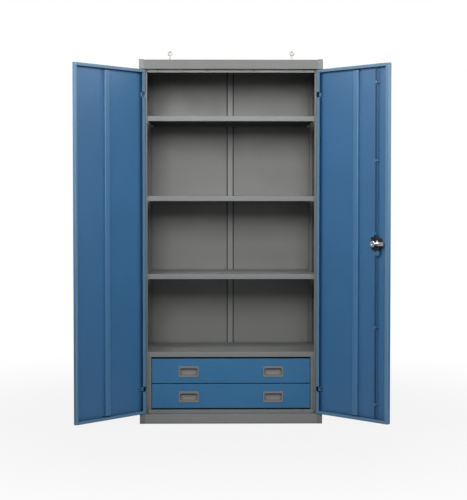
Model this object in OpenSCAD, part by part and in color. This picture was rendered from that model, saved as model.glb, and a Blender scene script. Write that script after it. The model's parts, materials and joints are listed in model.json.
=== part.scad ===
// Steel tool cabinet: two hinged doors with a two-rod latch, three shelves on clips,
// and two drawers on telescopic runners under a fixed deck.
// The origin is on the floor at the centre of the footprint. +Z is up and the doors face -Y.
// The doors stand open, the drawers are in and the latch rods are drawn in.

/* [Cabinet] */
// Overall width of the body
cabinet_w = 955; // [760:5:1200]
// Overall height of the body
cabinet_h = 1900; // [1840:5:2000]
// Overall depth of the body
cabinet_d = 500; // [470:5:600]
// Thickness of the folded body sheet
sheet = 1.5; // [1:0.1:2]
// Height of the fascia above the doors
fascia_h = 50; // [45:1:60]
// Height of the plinth below the doors
plinth_h = 50; // [45:1:60]
// Width of each corner ear beside the fascia and the plinth
ear_w = 26; // [20:1:34]
// Clearance where one body sheet ends beside another
sheet_gap = 0.3; // [0.2:0.1:0.6]
// Width of the jamb that stands beside each door opening
jamb_w = 41.5; // [40:0.5:50]
// Depth of the hem on the inner edge of the jamb
hem_d = 6; // [4:1:7]
// Distance from the front plane to the jamb
jamb_y = 28; // [28:0.5:30]
// Distance from the front plane to the door stops
stop_y = 24; // [23.5:0.5:25]
// Height of the stop that hangs behind the top of the doors
top_stop_h = 16; // [12:1:20]
// Height of the stop that stands behind the foot of the doors
floor_stop_h = 21; // [14:1:22]
// Gap between the end of a stop and the jamb
stop_end = 1; // [0.5:0.5:2]
// Width of the stops' fixing legs
stop_leg = 8; // [6:1:9]
// How far the ledge over the doors reaches behind the stops, and stays short of the jambs
ledge_lap = 2; // [1:0.5:4]
// Radius of the rubber bumpers on the stops
bumper_r = 3.5; // [2.5:0.5:5]
// Distance of the inner bumpers from the middle
bumper_in = 120; // [60:5:200]
// Distance of the outer bumpers from the middle
bumper_out = 380; // [300:5:420]
// Gap between a bumper and a closed door
bumper_gap = 0.3; // [0.1:0.1:0.5]
// Width of the flange that the cabinet stands on
base_flange = 36; // [32:1:45]
// Thickness of the flange that the cabinet stands on
base_flange_t = 2; // [1.5:0.5:3]
// Radius of the floor fixing holes
floor_hole_r = 5.5; // [4:0.5:6.5]
// Inset of the floor fixing holes from the front and back
floor_hole_inset_y = 18; // [14:1:20]
// Inset of the floor fixing holes from the sides
floor_hole_inset_x = 19.5; // [15:0.5:21]
// Width of the folded rear flange of the side panels
rear_flange = 20; // [12:1:26]
// How far the back panels stop short of the sides, the roof and the floor
back_edge = 1; // [0.5:0.5:3]
// Width of the rib that covers the joint of the back panels
rib_w = 28; // [20:1:40]
// Depth of the rib that covers the joint of the back panels
rib_d = 8; // [6:1:9]
// Width of the rib's feet, which lie on the back panels
rib_foot = 6; // [4:0.5:10]
// Gap between the top of the rib and the roof
rib_end = 0.5; // [0.3:0.1:2]

/* [Lifting eyes] */
// Distance of each lifting eye from the middle of the roof
eye_x = 318; // [250:1:340]
// Distance of the lifting eyes from the front and the back
eye_inset = 45; // [42:1:80]
// Outer radius of the ring of a lifting eye
eye_r = 12; // [11:0.5:18]
// Radius of the bar that the ring is bent from
eye_bar_r = 3; // [2.5:0.5:4]
// Height of the neck under the ring
eye_neck = 27; // [10:1:30]
// Radius of the neck under the ring
eye_neck_r = 4.5; // [4:0.5:6]
// Radius of the collar of a lifting eye
eye_collar_r = 10; // [8:1:12]
// Thickness of the collar of a lifting eye
eye_collar_t = 4; // [2:0.5:6]
// Radius of the threaded shank of a lifting eye
eye_shank_r = 4; // [3:0.5:4]
// Length of the shank under the roof
eye_shank_l = 20; // [14:1:26]
// Radius across the corners of the nut of a lifting eye
eye_nut_r = 7.5; // [6.5:0.5:9]
// Height of the nut of a lifting eye
eye_nut_h = 6.5; // [5:0.5:8]

/* [Shelves] */
// Height of the top of the lower shelf, from the floor
shelf_lower_top = 783; // [700:1:860]
// Height of the top of the middle shelf, from the floor
shelf_middle_top = 1192; // [1100:1:1280]
// Height of the top of the upper shelf, from the floor
shelf_upper_top = 1609; // [1520:1:1700]
// Height of the top of the fixed deck over the drawers
deck_top = 373; // [365:1:380]
// Height of the lips of the shelves and the deck
lip_h = 27; // [24:1:32]
// Width of the returns under the lips
lip_return = 12; // [8:1:16]
// Height of the folded ends of the shelves
shelf_end_h = 20; // [16:1:22]
// Distance from the front plane to the front of the shelves
shelf_y = 36; // [35.5:0.5:40]
// Gap behind the shelves, in front of the rib
shelf_back_gap = 3; // [2:1:6]
// Distance from the side of the body to the inner face of the uprights
upright_in = 36.5; // [36:0.5:42]
// Width of the uprights
upright_w = 18; // [16:1:20]
// Depth of the uprights
upright_d = 25; // [20:1:30]
// Distance from the front plane to the front uprights
upright_y = 50; // [48:1:70]
// Gap between the end of a shelf and an upright
shelf_end_gap = 2; // [1:0.5:3]
// Spacing of the slots in the uprights
slot_pitch = 30; // [26:1:36]
// Height of a slot in an upright
slot_h = 14; // [12:1:16]
// Width of a slot in an upright
slot_w = 4; // [3:0.5:6]
// Clearance of a clip's tongue in its slot
slot_gap = 0.5; // [0.3:0.1:0.8]
// How far a shelf clip reaches under the shelf
clip_reach = 12; // [9:1:14]
// Height of a shelf clip
clip_h = 11; // [8:1:12]
// Width of a shelf clip
clip_w = 16; // [12:1:20]

/* [Doors] */
// Depth of the folded edges of the doors
door_t = 22; // [20:0.5:22]
// Thickness of the door sheet
door_sheet = 1.5; // [1:0.1:2]
// Gap between a door and the fascia or the plinth
door_gap_z = 2; // [2:0.5:4]
// How far a door stops short of the side of the body
door_gap_side = 1.5; // [1:0.5:3]
// Gap between the two closed doors
door_gap_mid = 2; // [2:0.5:4]
// Width of the lip along the top and the bottom of a door
door_lip_z = 16; // [12:1:20]
// Width of the lip along the hinged edge of a door
door_lip_hinge = 20; // [16:1:30]
// Width of the lip along the free edge of the left door
door_lip_free_left = 12; // [8:1:20]
// Width of the lip along the free edge of the right door
door_lip_free_right = 20; // [14:1:24]
// Angle that the left door stands open
open_left = 133; // [90:1:134]
// Angle that the right door stands open
open_right = 134; // [90:1:134]
// Distance of the stiffener's middle from the hinged edge
stiffener_u = 257; // [200:1:300]
// Overall width of the stiffener
stiffener_w = 62; // [50:1:80]
// Width of the stiffener's crown
stiffener_crown = 34; // [24:1:40]
// Depth of the stiffener
stiffener_d = 15; // [10:1:17]
// Distance that the stiffener stops short of the top and bottom of the door
stiffener_end = 22; // [18:1:60]

/* [Hinges] */
// Distance of the hinge pin from the side of the body
pin_in = 14; // [13:0.5:14]
// Distance of the hinge pin from the front plane
pin_y = 8; // [8:0.5:8.5]
// Radius of the hinge pin
pin_r = 4; // [3:0.5:4]
// Radial clearance of the hinge pin in the door's ears
pin_fit = 0.05; // [0.02:0.01:0.1]
// Distance of each hinge from the end of the door
hinge_end = 130; // [100:5:300]
// Thickness of the hinge arm
arm_t = 4; // [3:0.5:6]
// Width of the hinge arm
arm_w = 6; // [5:0.5:6]
// Angle of the hinge arm, from the line of the front plane
arm_angle = 56; // [54:1:58]
// Radius of the boss at the end of the hinge arm
arm_boss_r = 6; // [5:0.5:6]
// Thickness of the door's hinge ears
ear_t = 8; // [6:1:12]
// Reach of an ear from the pin, towards the middle of the door
ear_reach = 18; // [14:1:24]
// Reach of an ear from the pin, towards the hinged edge
ear_back = 8; // [7:0.5:9]
// Wall of an ear around its pin
ear_wall = 3; // [2.5:0.5:3]
// Gap between the hinge arm and an ear
ear_gap = 0.3; // [0.2:0.1:0.6]
// Clearance around the hinge arm in the slot of the jamb
arm_slot_gap = 1.2; // [1:0.1:2]
// Height of the foot plate of a hinge, behind the jamb
foot_h = 60; // [40:2:90]
// Thickness of the foot plate
foot_t = 3; // [2:0.5:4]
// Reach of the foot plate from the arm, towards the middle of the body
foot_in = 9; // [7:0.5:9]
// Reach of the foot plate from the arm, towards the side of the body
foot_out = 12; // [8:0.5:14]
// Height of the notch in the door's folded edge at a hinge
notch_h = 26; // [24:1:60]

/* [Latch] */
// Distance of the latch from the hinged edge of the right door
latch_u = 390; // [370:1:400]
// Height of the latch from the floor
latch_z = 950; // [900:5:1000]
// Radius of the latch housing
housing_r = 38; // [34:1:42]
// Depth of the latch housing
housing_d = 12.5; // [10:0.5:12.5]
// Radius of the rotor disc
rotor_r = 35; // [30:1:37]
// Thickness of the rotor disc
rotor_t = 3; // [2:0.5:3]
// Distance of the rotor's crank pins from its axis
crank_r = 18; // [16:0.5:20]
// Radius of the rotor's crank pins
crank_pin_r = 3; // [2.5:0.5:3.5]
// Outer radius of the tube between the handle and the rotor
tube_r = 6.5; // [6:0.5:7]
// Gap around the tube in the door sheet
tube_gap = 1; // [0.5:0.1:2]
// Radial clearance of the latch's turning pieces
latch_fit = 0.05; // [0.02:0.01:0.1]
// Radius of the latch rods
rod_r = 4; // [3:0.5:5]
// Gap around a rod in the door's edge, the roof and the floor
rod_hole_gap = 1; // [0.6:0.1:1.4]
// Distance of the rods' axis from the door's outer face
rod_n = 15; // [14:0.5:15]
// Distance of a drawn-in rod's tip from the end of the door
rod_tip_in = 0.5; // [0.2:0.1:2]
// Thickness of the plate on the inner end of a rod
rod_plate_t = 3; // [2:0.5:3]
// Height of the clearance in a rod plate's slot, above and below the crank pin
rod_slot_play = 1; // [0.8:0.1:1.4]
// Clearance at each end of a rod plate's slot
rod_slot_end = 0.6; // [0.4:0.1:1]
// Width of the metal around a rod plate's slot
rod_margin = 4; // [3:0.5:4.5]
// Length of the lap of a rod on its plate
rod_lap = 10; // [8:1:30]
// Width of the foot of a rod guide
guide_foot_w = 28; // [22:1:36]
// Thickness of the foot of a rod guide
guide_foot_t = 4; // [2:0.5:6]
// Width of a rod guide
guide_w = 13; // [12:0.5:16]
// Height of a rod guide
guide_h = 12; // [10:1:24]
// Radial clearance of a rod in its guide
guide_fit = 0.08; // [0.02:0.01:0.1]
// Distance of the outer rod guides from the ends of the door
guide_end = 90; // [60:5:140]
// Distance of the inner rod guides from the ends of the door
guide_inner = 480; // [300:5:560]
// Radius of the rotor's two holes
rotor_hole_r = 4; // [2:0.5:4]
// Distance of the rotor's holes from the middle, across the door
rotor_hole_u = 23; // [22:0.5:24]
// Distance of the rotor's holes from the middle, upwards
rotor_hole_z = 8; // [4:1:10]
// Radius of the barrel at the back of the lock cylinder
barrel_r = 16.5; // [14:0.5:18]
// Distance of the barrel's end from the door's outer face
barrel_end = 44; // [38:1:46]
// Radius of the lock cylinder's core
core_r = 4; // [3:0.5:4.5]
// Width of the slot for the key
key_w = 1.6; // [1:0.1:2]
// Height of the slot for the key
key_h = 5; // [4:0.5:5.5]
// Depth of the slot for the key
key_d = 5; // [3:0.5:8]
// Length of the cam, from the lock's axis
cam_l = 58; // [50:1:66]
// Width of the cam
cam_w = 20; // [14:1:24]
// Radius of the corners of the cam
cam_corner = 3; // [1:0.5:6]
// Radius of the cam around the lock's axis
cam_eye_r = 13; // [11:0.5:15]
// Thickness of the cam
cam_t = 3; // [2:0.5:4]
// Radius of the plate under the handle
rose_r = 32; // [26:1:36]
// Thickness of the plate under the handle
rose_t = 4; // [3:0.5:6]
// Length of the handle's bar
handle_l = 112; // [80:2:130]
// Width of the handle's bar
handle_w = 20; // [14:1:24]
// Thickness of the handle's bar
handle_bar_t = 10; // [6:1:14]
// Depth of the handle's boss
handle_d = 20; // [16:1:26]
// Radius of the handle's boss
handle_boss_r = 17; // [14:0.5:20]

/* [Drawers] */
// Height of a drawer front
front_h = 128.5; // [110:0.5:128.5]
// Gap between the drawer fronts
front_gap = 4.5; // [3:0.5:6]
// Height of the lower drawer front above the cabinet floor
front_foot = 26; // [24:1:27]
// Width of a drawer front
front_w = 833; // [600:1:833]
// Depth of a drawer front
front_t = 14; // [12:1:18]
// Distance from the end of a drawer front to the opening in its back
front_margin_x = 30; // [20:1:40]
// Distance from the drawer box's foot and top to the opening in the front's back
front_margin_z = 20; // [10:1:24]
// Thickness of the drawer sheet
drawer_sheet = 1.2; // [0.8:0.1:1.6]
// Width left for one runner between a drawer and the bay side
runner_space = 13.2; // [12.7:0.1:14]
// Gap between a drawer front's end and the bay side
front_end_gap = 2; // [1.5:0.5:4]
// Height of a drawer box
box_h = 92; // [70:1:96]
// Length of the drawer boxes and of their runners
box_l = 410; // [360:5:415]
// Height of the drawer box above the foot of its front
box_foot = 14; // [10:1:16]
// Distance of a drawer pull's middle from the middle of the front
pull_x = 222; // [160:1:300]
// Distance of a drawer pull's middle below the middle of the front
pull_drop = 4; // [0:1:8]
// Width of the rim of a drawer pull
pull_w = 106; // [80:1:120]
// Height of the rim of a drawer pull
pull_h = 59; // [50:1:66]
// How far the rim of a drawer pull stands proud
pull_proud = 3; // [2:0.5:4]
// Width of the rim around the pull's recess
pull_rim = 8; // [6:0.5:10]
// How far the lip that the fingers hold reaches over the recess
pull_lip = 4; // [3:0.5:6]
// Thickness of the pull's rim over the recess
pull_lip_t = 1.5; // [1:0.1:2]
// Wall of the cup behind a pull
cup_wall = 2; // [1.2:0.1:3]
// Thickness of the bottom of a pull's cup
cup_floor = 1.2; // [0.8:0.1:2]
// Clearance around a pull's cup in the front
pull_fit = 0.3; // [0.2:0.1:0.6]
// Radius of the corners of a pull
pull_corner = 6; // [3:0.5:7]
// Depth of a pull's recess
pull_depth = 13.5; // [8:0.5:14]
// Height of the runners
runner_h = 44; // [36:1:50]
// Thickness of the runner sheet
runner_t = 1.2; // [1:0.1:1.4]
// Play between the nested members of a runner
runner_play = 0.4; // [0.3:0.1:0.6]
// Gap between the outer member of a runner and the drawer box
runner_box_gap = 4; // [3.5:0.1:5]
// Gap between the webs of the outer and the middle member
runner_web_gap = 2; // [1.5:0.1:2.5]
// Gap between the middle member of a runner and the drawer box
runner_middle_gap = 2.5; // [2:0.1:3]
// Depth of the inner member of a runner
runner_inner_d = 6.5; // [5:0.1:6.5]
// Distance from the back of the bay sides to the back of the deck
bay_gap = 6; // [4:1:12]
// Width of the bay side's strip that lies behind the jamb
strip_lap = 4; // [2:1:8]

/* [Hidden] */
$fn = 64;

// How far a cutting shape reaches past the face that it cuts.
cut = 1;
// The gaps that the latch's stacked pieces keep along their axis.
latch_gap = 0.5;
cam_gap = 3.5;
handle_gap = 0.3;
// Radial clearances of bored pieces that are fixed to one another.
fixed_fit = 0.1;
eye_nut_fit = 0.05;
// How far the rotor's crank pins stand through the rod plates.
crank_pin_end = 1;
// The depth of the step at the rim of the latch's turned pieces.
rim_step = 2;

half_w = cabinet_w / 2;
roof_z = cabinet_h - sheet;
opening_top = cabinet_h - fascia_h;
back_y = cabinet_d - sheet;
flange_y = back_y - sheet;
jamb_x = half_w - jamb_w;
inner_x = half_w - sheet - sheet_gap;
fascia_x = half_w - ear_w - sheet_gap;
return_d = stop_y + sheet + stop_leg + ledge_lap;

shelf_levels = [shelf_lower_top, shelf_middle_top, shelf_upper_top];
upright_x = half_w - upright_in;
rear_upright_y = flange_y - sheet_gap - upright_d;
shelf_x = upright_x - shelf_end_gap;
shelf_back = back_y - rib_d - shelf_back_gap;

door_w = half_w - door_gap_side - door_gap_mid / 2;
door_z0 = plinth_h + door_gap_z;
door_z1 = opening_top - door_gap_z;
pin_u = pin_in - door_gap_side;
hinge_levels = [door_z0 + hinge_end, door_z1 - hinge_end];
foot_y = jamb_y + sheet;

front_levels = [plinth_h + front_foot, plinth_h + front_foot + front_h + front_gap];
bay_x = front_w / 2 + front_end_gap;
box_x = bay_x - runner_space;
box_y = shelf_y + front_t;
runner_z = box_foot + box_h / 2;
bay_back = shelf_back - bay_gap;
middle_h = runner_h - 2 * (runner_t + runner_play);
inner_h = middle_h - 2 * (runner_t + runner_play);

rotor_n = door_sheet + housing_d + latch_gap;
crank_pin_n = rotor_n + rotor_t;
plate_n = crank_pin_n + latch_gap;
cam_n = plate_n + rod_plate_t + cam_gap;
barrel_n = cam_n + cam_t;
tube_end = cam_n - latch_gap;
crank_rest = 45;
crank_u = crank_r * cos(crank_rest);
rod_travel = 2 * crank_r * sin(crank_rest);
rod_inner = housing_r + rod_travel / 2 - rod_r;
rod_hole_r = rod_r + rod_hole_gap;
handle_n = rose_t + handle_gap;

// The height at which a shelf rests on its clips.
function clip_top(level) = level - shelf_end_h;

// Moves what is built from the front plane to the part's own origin.
module from_front() {
    translate([0, -cabinet_d / 2, 0]) children();
}

// Builds a piece once on the right and mirrors it where the left one is wanted.
module on_side(left) {
    mirror([left ? 1 : 0, 0, 0]) children();
}

// A box from its lowest and highest corners.
module block(low, high) {
    translate(low) cube(high - low);
}

// ---------------------------------------------------------------- body

// One side of the body, with its jamb, its rear flange and its four corner ears.
module side_panel(left) {
    color([0.56, 0.58, 0.6]) from_front() on_side(left) difference() {
        union() {
            block([half_w - sheet, 0, 0], [half_w, back_y, cabinet_h]);
            block([half_w - rear_flange, flange_y, 0], [half_w, back_y, cabinet_h]);
            block([jamb_x, jamb_y, plinth_h], [half_w, jamb_y + sheet, opening_top]);
            block([jamb_x, jamb_y, plinth_h], [jamb_x + sheet, jamb_y + hem_d, opening_top]);
            for (z = [[0, plinth_h], [opening_top, cabinet_h]])
                block([half_w - ear_w, 0, z[0]], [half_w, sheet, z[1]]);
        }
        block([half_w - sheet - cut, -cut, plinth_h], [half_w + cut, jamb_y, opening_top]);
        for (z = hinge_levels) arm_slot(z);
    }
}

// The slot that a hinge arm comes through, in the jamb.
module arm_slot(z) {
    reach = jamb_y + sheet / 2 - pin_y;
    x = half_w - pin_in - reach / tan(arm_angle);
    w = (arm_w / 2 + arm_slot_gap) / sin(arm_angle) + sheet;
    h = arm_t / 2 + arm_slot_gap / 2;
    block([x - w, jamb_y - cut, z - h], [x + w, foot_y + cut, z + h]);
}

// The roof, folded down at the front into the fascia and back under it.
module roof_panel() {
    color([0.58, 0.6, 0.62]) from_front() difference() {
        union() {
            block([-inner_x, sheet + sheet_gap, roof_z - sheet_gap - sheet],
                  [inner_x, flange_y - sheet_gap, roof_z - sheet_gap]);
            block([-fascia_x, 0, opening_top], [fascia_x, sheet, roof_z - sheet_gap]);
            block([-fascia_x, 0, roof_z - sheet_gap - sheet],
                  [fascia_x, sheet + 2 * sheet_gap, roof_z - sheet_gap]);
            block([-fascia_x, 0, opening_top], [fascia_x, return_d, opening_top + sheet]);
            block([-inner_x, sheet + sheet_gap, opening_top],
                  [inner_x, jamb_y - ledge_lap, opening_top + sheet]);
            for (s = [-1, 1])
                block([s * inner_x - (s + 1) / 2 * sheet, jamb_y + hem_d, roof_z - rear_flange],
                      [s * inner_x + (1 - s) / 2 * sheet, flange_y - sheet_gap, roof_z - sheet_gap]);
        }
        translate([half_w - door_gap_side - latch_u, rod_n, opening_top - cut])
            cylinder(r = rod_hole_r, h = sheet + 2 * cut);
        for (x = [-eye_x, eye_x], y = [eye_inset, cabinet_d - eye_inset])
            translate([x, y, roof_z - 3 * sheet]) cylinder(r = eye_shank_r + sheet_gap, h = 4 * sheet);
    }
}

// The angle that hangs behind the top of the doors and stops them.
module header_stop() {
    color([0.62, 0.64, 0.66]) from_front() {
        z = opening_top;
        x = jamb_x - stop_end;
        block([-x, stop_y, z - top_stop_h], [x, stop_y + sheet, z]);
        block([-x, stop_y, z - sheet], [x, stop_y + sheet + stop_leg, z]);
    }
}

// The cabinet's floor, which also makes the ledge in front of the doors' foot.
module floor_panel() {
    color([0.56, 0.58, 0.6]) from_front() difference() {
        block([-inner_x, sheet + sheet_gap, plinth_h - sheet], [inner_x, flange_y - sheet_gap, plinth_h]);
        translate([half_w - door_gap_side - latch_u, rod_n, plinth_h - sheet - cut])
            cylinder(r = rod_hole_r, h = sheet + 2 * cut);
    }
}

// The angle that stands on the floor behind the foot of the doors.
module floor_stop() {
    color([0.62, 0.64, 0.66]) from_front() {
        x = jamb_x - stop_end;
        block([-x, stop_y, plinth_h], [x, stop_y + sheet, plinth_h + floor_stop_h]);
        block([-x, stop_y, plinth_h], [x, stop_y + sheet + stop_leg, plinth_h + sheet]);
    }
}

// The welded frame under the floor: a plinth all round, with flanges to stand on.
module base_frame() {
    top = plinth_h - sheet;
    back = flange_y - sheet_gap;
    front = sheet + sheet_gap;
    color([0.5, 0.52, 0.54]) from_front() difference() {
        union() {
            block([-fascia_x, 0, 0], [fascia_x, sheet, plinth_h]);
            block([-fascia_x, 0, 0], [fascia_x, base_flange, base_flange_t]);
            block([-fascia_x, 0, top - sheet], [fascia_x, front + stop_leg - 1, top]);
            block([-inner_x, back - base_flange, 0], [inner_x, back, base_flange_t]);
            block([-inner_x, back - sheet, 0], [inner_x, back, top]);
            for (s = [-1, 1]) {
                block([s > 0 ? inner_x - sheet : -inner_x, front, 0],
                      [s > 0 ? inner_x : sheet - inner_x, back, top]);
                block([s > 0 ? inner_x - base_flange : -inner_x, front, 0],
                      [s > 0 ? inner_x : base_flange - inner_x, back, base_flange_t]);
            }
        }
        for (x = [-1, 1], y = [floor_hole_inset_y, cabinet_d - floor_hole_inset_y])
            translate([x * (half_w - floor_hole_inset_x), y, -cut])
                cylinder(r = floor_hole_r, h = base_flange_t + 2 * cut);
    }
}

// Half of the back, screwed to the rear flange of one side panel.
module back_panel(left) {
    color([0.6, 0.62, 0.64]) from_front() on_side(left)
        block([sheet_gap, back_y, back_edge], [half_w - back_edge, cabinet_d, cabinet_h - back_edge]);
}

// The hat-section rib over the joint of the two back panels.
module back_rib() {
    foot = rib_w / 2 + rib_foot;
    color([0.62, 0.64, 0.66]) from_front() translate([0, 0, plinth_h])
        linear_extrude(roof_z - sheet_gap - sheet - plinth_h - rib_end) polygon([
            [-foot, back_y], [-foot, back_y - sheet], [-rib_w / 2, back_y - sheet],
            [-rib_w / 2, back_y - rib_d], [rib_w / 2, back_y - rib_d],
            [rib_w / 2, back_y - sheet], [foot, back_y - sheet], [foot, back_y],
            [rib_w / 2 - sheet, back_y], [rib_w / 2 - sheet, back_y - rib_d + sheet],
            [sheet - rib_w / 2, back_y - rib_d + sheet], [sheet - rib_w / 2, back_y]
        ]);
}

// A slotted channel that carries the shelf clips. It stands on the deck.
module upright(left, y) {
    top = roof_z - sheet_gap - sheet;
    color([0.6, 0.62, 0.64]) from_front() on_side(left) difference() {
        block([upright_x, y, deck_top], [upright_x + upright_w, y + upright_d, top]);
        block([upright_x + sheet, y + sheet, deck_top - cut],
              [upright_x + upright_w + cut, y + upright_d - sheet, top + cut]);
        for (z = shelf_levels, k = [-2 : 2])
            translate([upright_x - cut, y + (upright_d - slot_w) / 2, clip_top(z) - slot_h])
                translate([0, 0, k * slot_pitch]) cube([sheet + 2 * cut, slot_w, slot_h]);
    }
}

// A tray-shaped sheet, with lips turned down and returned at the front and back.
module tray(x, level, end_h) {
    for (y = [shelf_y, shelf_back - sheet])
        block([-x, y, level - lip_h], [x, y + sheet, level]);
    block([-x, shelf_y, level - sheet], [x, shelf_back, level]);
    block([-x, shelf_y, level - lip_h], [x, shelf_y + lip_return, level - lip_h + sheet]);
    block([-x, shelf_back - lip_return, level - lip_h], [x, shelf_back, level - lip_h + sheet]);
    for (s = [-1, 1])
        block([s > 0 ? x - sheet : -x, shelf_y, level - end_h], [s > 0 ? x : sheet - x, shelf_back, level]);
}

// A loose shelf. Its lip returns are notched at the ends, where the clips come under them.
module shelf(level) {
    color([0.6, 0.62, 0.64]) from_front() difference() {
        tray(shelf_x, level, shelf_end_h);
        for (s = [-1, 1], y = [upright_y, rear_upright_y])
            block([s * shelf_x - clip_reach - 2, y, level - lip_h - cut],
                  [s * shelf_x + clip_reach + 2, y + upright_d, clip_top(level)]);
    }
}

// The clips under the three shelves, each hooked into a slot of an upright.
module shelf_clips() {
    color([0.78, 0.78, 0.76]) from_front()
        for (left = [false, true], z = shelf_levels, y = [upright_y, rear_upright_y])
            on_side(left) translate([upright_x, y + upright_d / 2, clip_top(z) - clip_h]) {
                translate([-clip_reach, -clip_w / 2, 0]) cube([clip_reach, clip_w, clip_h]);
                translate([-cut, slot_gap - slot_w / 2, slot_gap + clip_h - slot_h + 3])
                    cube([sheet + cut + 2, slot_w - 2 * slot_gap, slot_h - 3 - 2 * slot_gap]);
            }
}

// The fixed shelf over the drawers, which the uprights stand on.
module drawer_deck() {
    color([0.6, 0.62, 0.64]) from_front() {
        tray(inner_x, deck_top, lip_h);
        for (s = [-1, 1])
            block([s > 0 ? inner_x - upright_in : -inner_x, shelf_y + sheet, deck_top - sheet],
                  [s > 0 ? inner_x : upright_in - inner_x, flange_y - sheet_gap, deck_top]);
    }
}

// One side of the drawer bay: a plate for the runners and a strip that closes the front.
module bay_side(left) {
    top = deck_top - lip_h;
    color([0.5, 0.52, 0.54]) from_front() on_side(left) {
        block([bay_x, shelf_y, plinth_h], [bay_x + sheet, bay_back, top]);
        block([bay_x, shelf_y, plinth_h], [jamb_x + strip_lap, shelf_y + sheet, top]);
        block([bay_x, shelf_y, top - sheet], [jamb_x + strip_lap, bay_back, top]);
        block([bay_x, shelf_y, plinth_h], [jamb_x + strip_lap, bay_back, plinth_h + sheet]);
    }
}

// ---------------------------------------------------------------- runners

// A channel along Y, seen from the front: its web stands at x and its flanges reach to x_end.
module channel(x, x_end, h, z, y0, l) {
    out = sign(x_end - x);
    low = min(x, x_end);
    high = max(x, x_end);
    translate([0, y0, z]) difference() {
        block([low, 0, -h / 2], [high, l, h / 2]);
        block([out > 0 ? low + runner_t : low - cut, -cut, runner_t - h / 2],
              [out > 0 ? high + cut : high - runner_t, l + cut, h / 2 - runner_t]);
    }
}

// The outer members, screwed to the bay sides.
module runner_outer_members() {
    color([0.75, 0.76, 0.78]) from_front() for (left = [false, true], level = front_levels)
        on_side(left)
            channel(bay_x, box_x + runner_box_gap, runner_h, level + runner_z, box_y, box_l);
}

// The pair of middle members of one drawer.
module runner_middle(level) {
    color([0.8, 0.81, 0.83]) from_front() for (left = [false, true])
        on_side(left) channel(bay_x - runner_t - runner_web_gap, box_x + runner_middle_gap,
                              middle_h, level + runner_z, box_y, box_l);
}

// The pair of inner members of one drawer, screwed to its box.
module runner_inner(level) {
    color([0.75, 0.76, 0.78]) from_front() for (left = [false, true])
        on_side(left) channel(box_x, box_x + runner_inner_d, inner_h, level + runner_z, box_y, box_l);
}

// ---------------------------------------------------------------- drawers

// A drawer's front: a shallow tray with two openings for the pulls.
module drawer_front(level) {
    x = front_w / 2;
    cup_in = pull_rim - cup_wall - pull_fit;
    color([0.22, 0.4, 0.58]) from_front() difference() {
        block([-x, shelf_y, level], [x, shelf_y + front_t, level + front_h]);
        block([drawer_sheet - x, shelf_y + drawer_sheet, level + drawer_sheet],
              [x - drawer_sheet, shelf_y + front_t - drawer_sheet, level + front_h - drawer_sheet]);
        block([front_margin_x - x, shelf_y + front_t - 2 * drawer_sheet, level + box_foot + front_margin_z],
              [x - front_margin_x, shelf_y + front_t + cut, level + box_foot + box_h - front_margin_z]);
        for (s = [-1, 1]) translate([s * pull_x, shelf_y - cut, level + front_h / 2 - pull_drop])
            pull_prism(pull_w - 2 * cup_in, pull_h - 2 * cup_in, front_t / 2);
    }
}

// A drawer's open box.
module drawer_box(level) {
    z = level + box_foot;
    color([0.5, 0.52, 0.54]) from_front() difference() {
        block([-box_x, box_y, z], [box_x, box_y + box_l, z + box_h]);
        block([drawer_sheet - box_x, box_y + drawer_sheet, z + drawer_sheet],
              [box_x - drawer_sheet, box_y + box_l - drawer_sheet, z + box_h + cut]);
    }
}

// A prism with rounded corners, standing away from the front by d.
module pull_prism(w, h, d) {
    r = pull_corner;
    rotate([-90, 0, 0]) linear_extrude(d) union() {
        square([w - 2 * r, h], center = true);
        square([w, h - 2 * r], center = true);
        for (x = [-1, 1], y = [-1, 1]) translate([x * (w / 2 - r), y * (h / 2 - r)]) circle(r);
    }
}

// The two recessed pulls of a drawer, each a rim with a cup behind it and a lip to hold.
module drawer_pulls(level) {
    w = pull_w - 2 * pull_rim;
    h = pull_h - 2 * pull_rim;
    color([0.62, 0.64, 0.66]) from_front() for (s = [-1, 1])
        translate([s * pull_x, shelf_y, level + front_h / 2 - pull_drop]) difference() {
            union() {
                translate([0, -pull_proud, 0]) pull_prism(pull_w, pull_h, pull_proud);
                pull_prism(w + 2 * cup_wall, h + 2 * cup_wall, pull_depth - pull_proud + cup_floor);
            }
            translate([0, -pull_proud - cut, 0]) pull_prism(w, h - 2 * pull_lip, 2 * pull_lip_t + cut);
            translate([0, pull_lip_t - pull_proud, 0]) pull_prism(w, h, pull_depth - pull_lip_t);
        }
}

// ---------------------------------------------------------------- doors

// Places what is built on a closed left door: u runs along +X from the hinged edge and
// n along +Y from the outer face, with heights from the floor.
module on_door(angle) {
    from_front() translate([pin_in - half_w, pin_y, 0]) rotate([0, 0, -angle])
        translate([-pin_u, -pin_y, 0]) children();
}

module on_left_door() {
    on_door(open_left) children();
}

module on_right_door() {
    mirror([1, 0, 0]) on_door(open_right) children();
}

// A door panel: a sheet with all four edges folded back and returned into lips.
module door_tray(free_lip) {
    difference() {
        block([0, 0, door_z0], [door_w, door_t, door_z1]);
        block([door_sheet, door_sheet, door_z0 + door_sheet],
              [door_w - door_sheet, door_t - door_sheet, door_z1 - door_sheet]);
        block([door_lip_hinge, door_t - 2 * door_sheet, door_z0 + door_lip_z],
              [door_w - free_lip, door_t + cut, door_z1 - door_lip_z]);
        for (z = hinge_levels)
            block([-cut, door_sheet, z - notch_h / 2],
                  [door_lip_hinge + cut, door_t + cut, z + notch_h / 2]);
    }
}

module door_left_panel() {
    color([0.3, 0.46, 0.62]) on_left_door() door_tray(door_lip_free_left);
}

module door_right_panel() {
    color([0.3, 0.46, 0.62]) on_right_door() difference() {
        door_tray(door_lip_free_right);
        translate([latch_u, -cut, latch_z]) rotate([-90, 0, 0])
            cylinder(r = tube_r + tube_gap, h = door_sheet + 2 * cut);
        for (z = [door_z0, door_z1]) translate([latch_u, rod_n, z - 2 * door_sheet])
            cylinder(r = rod_hole_r, h = 4 * door_sheet);
    }
}

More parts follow.
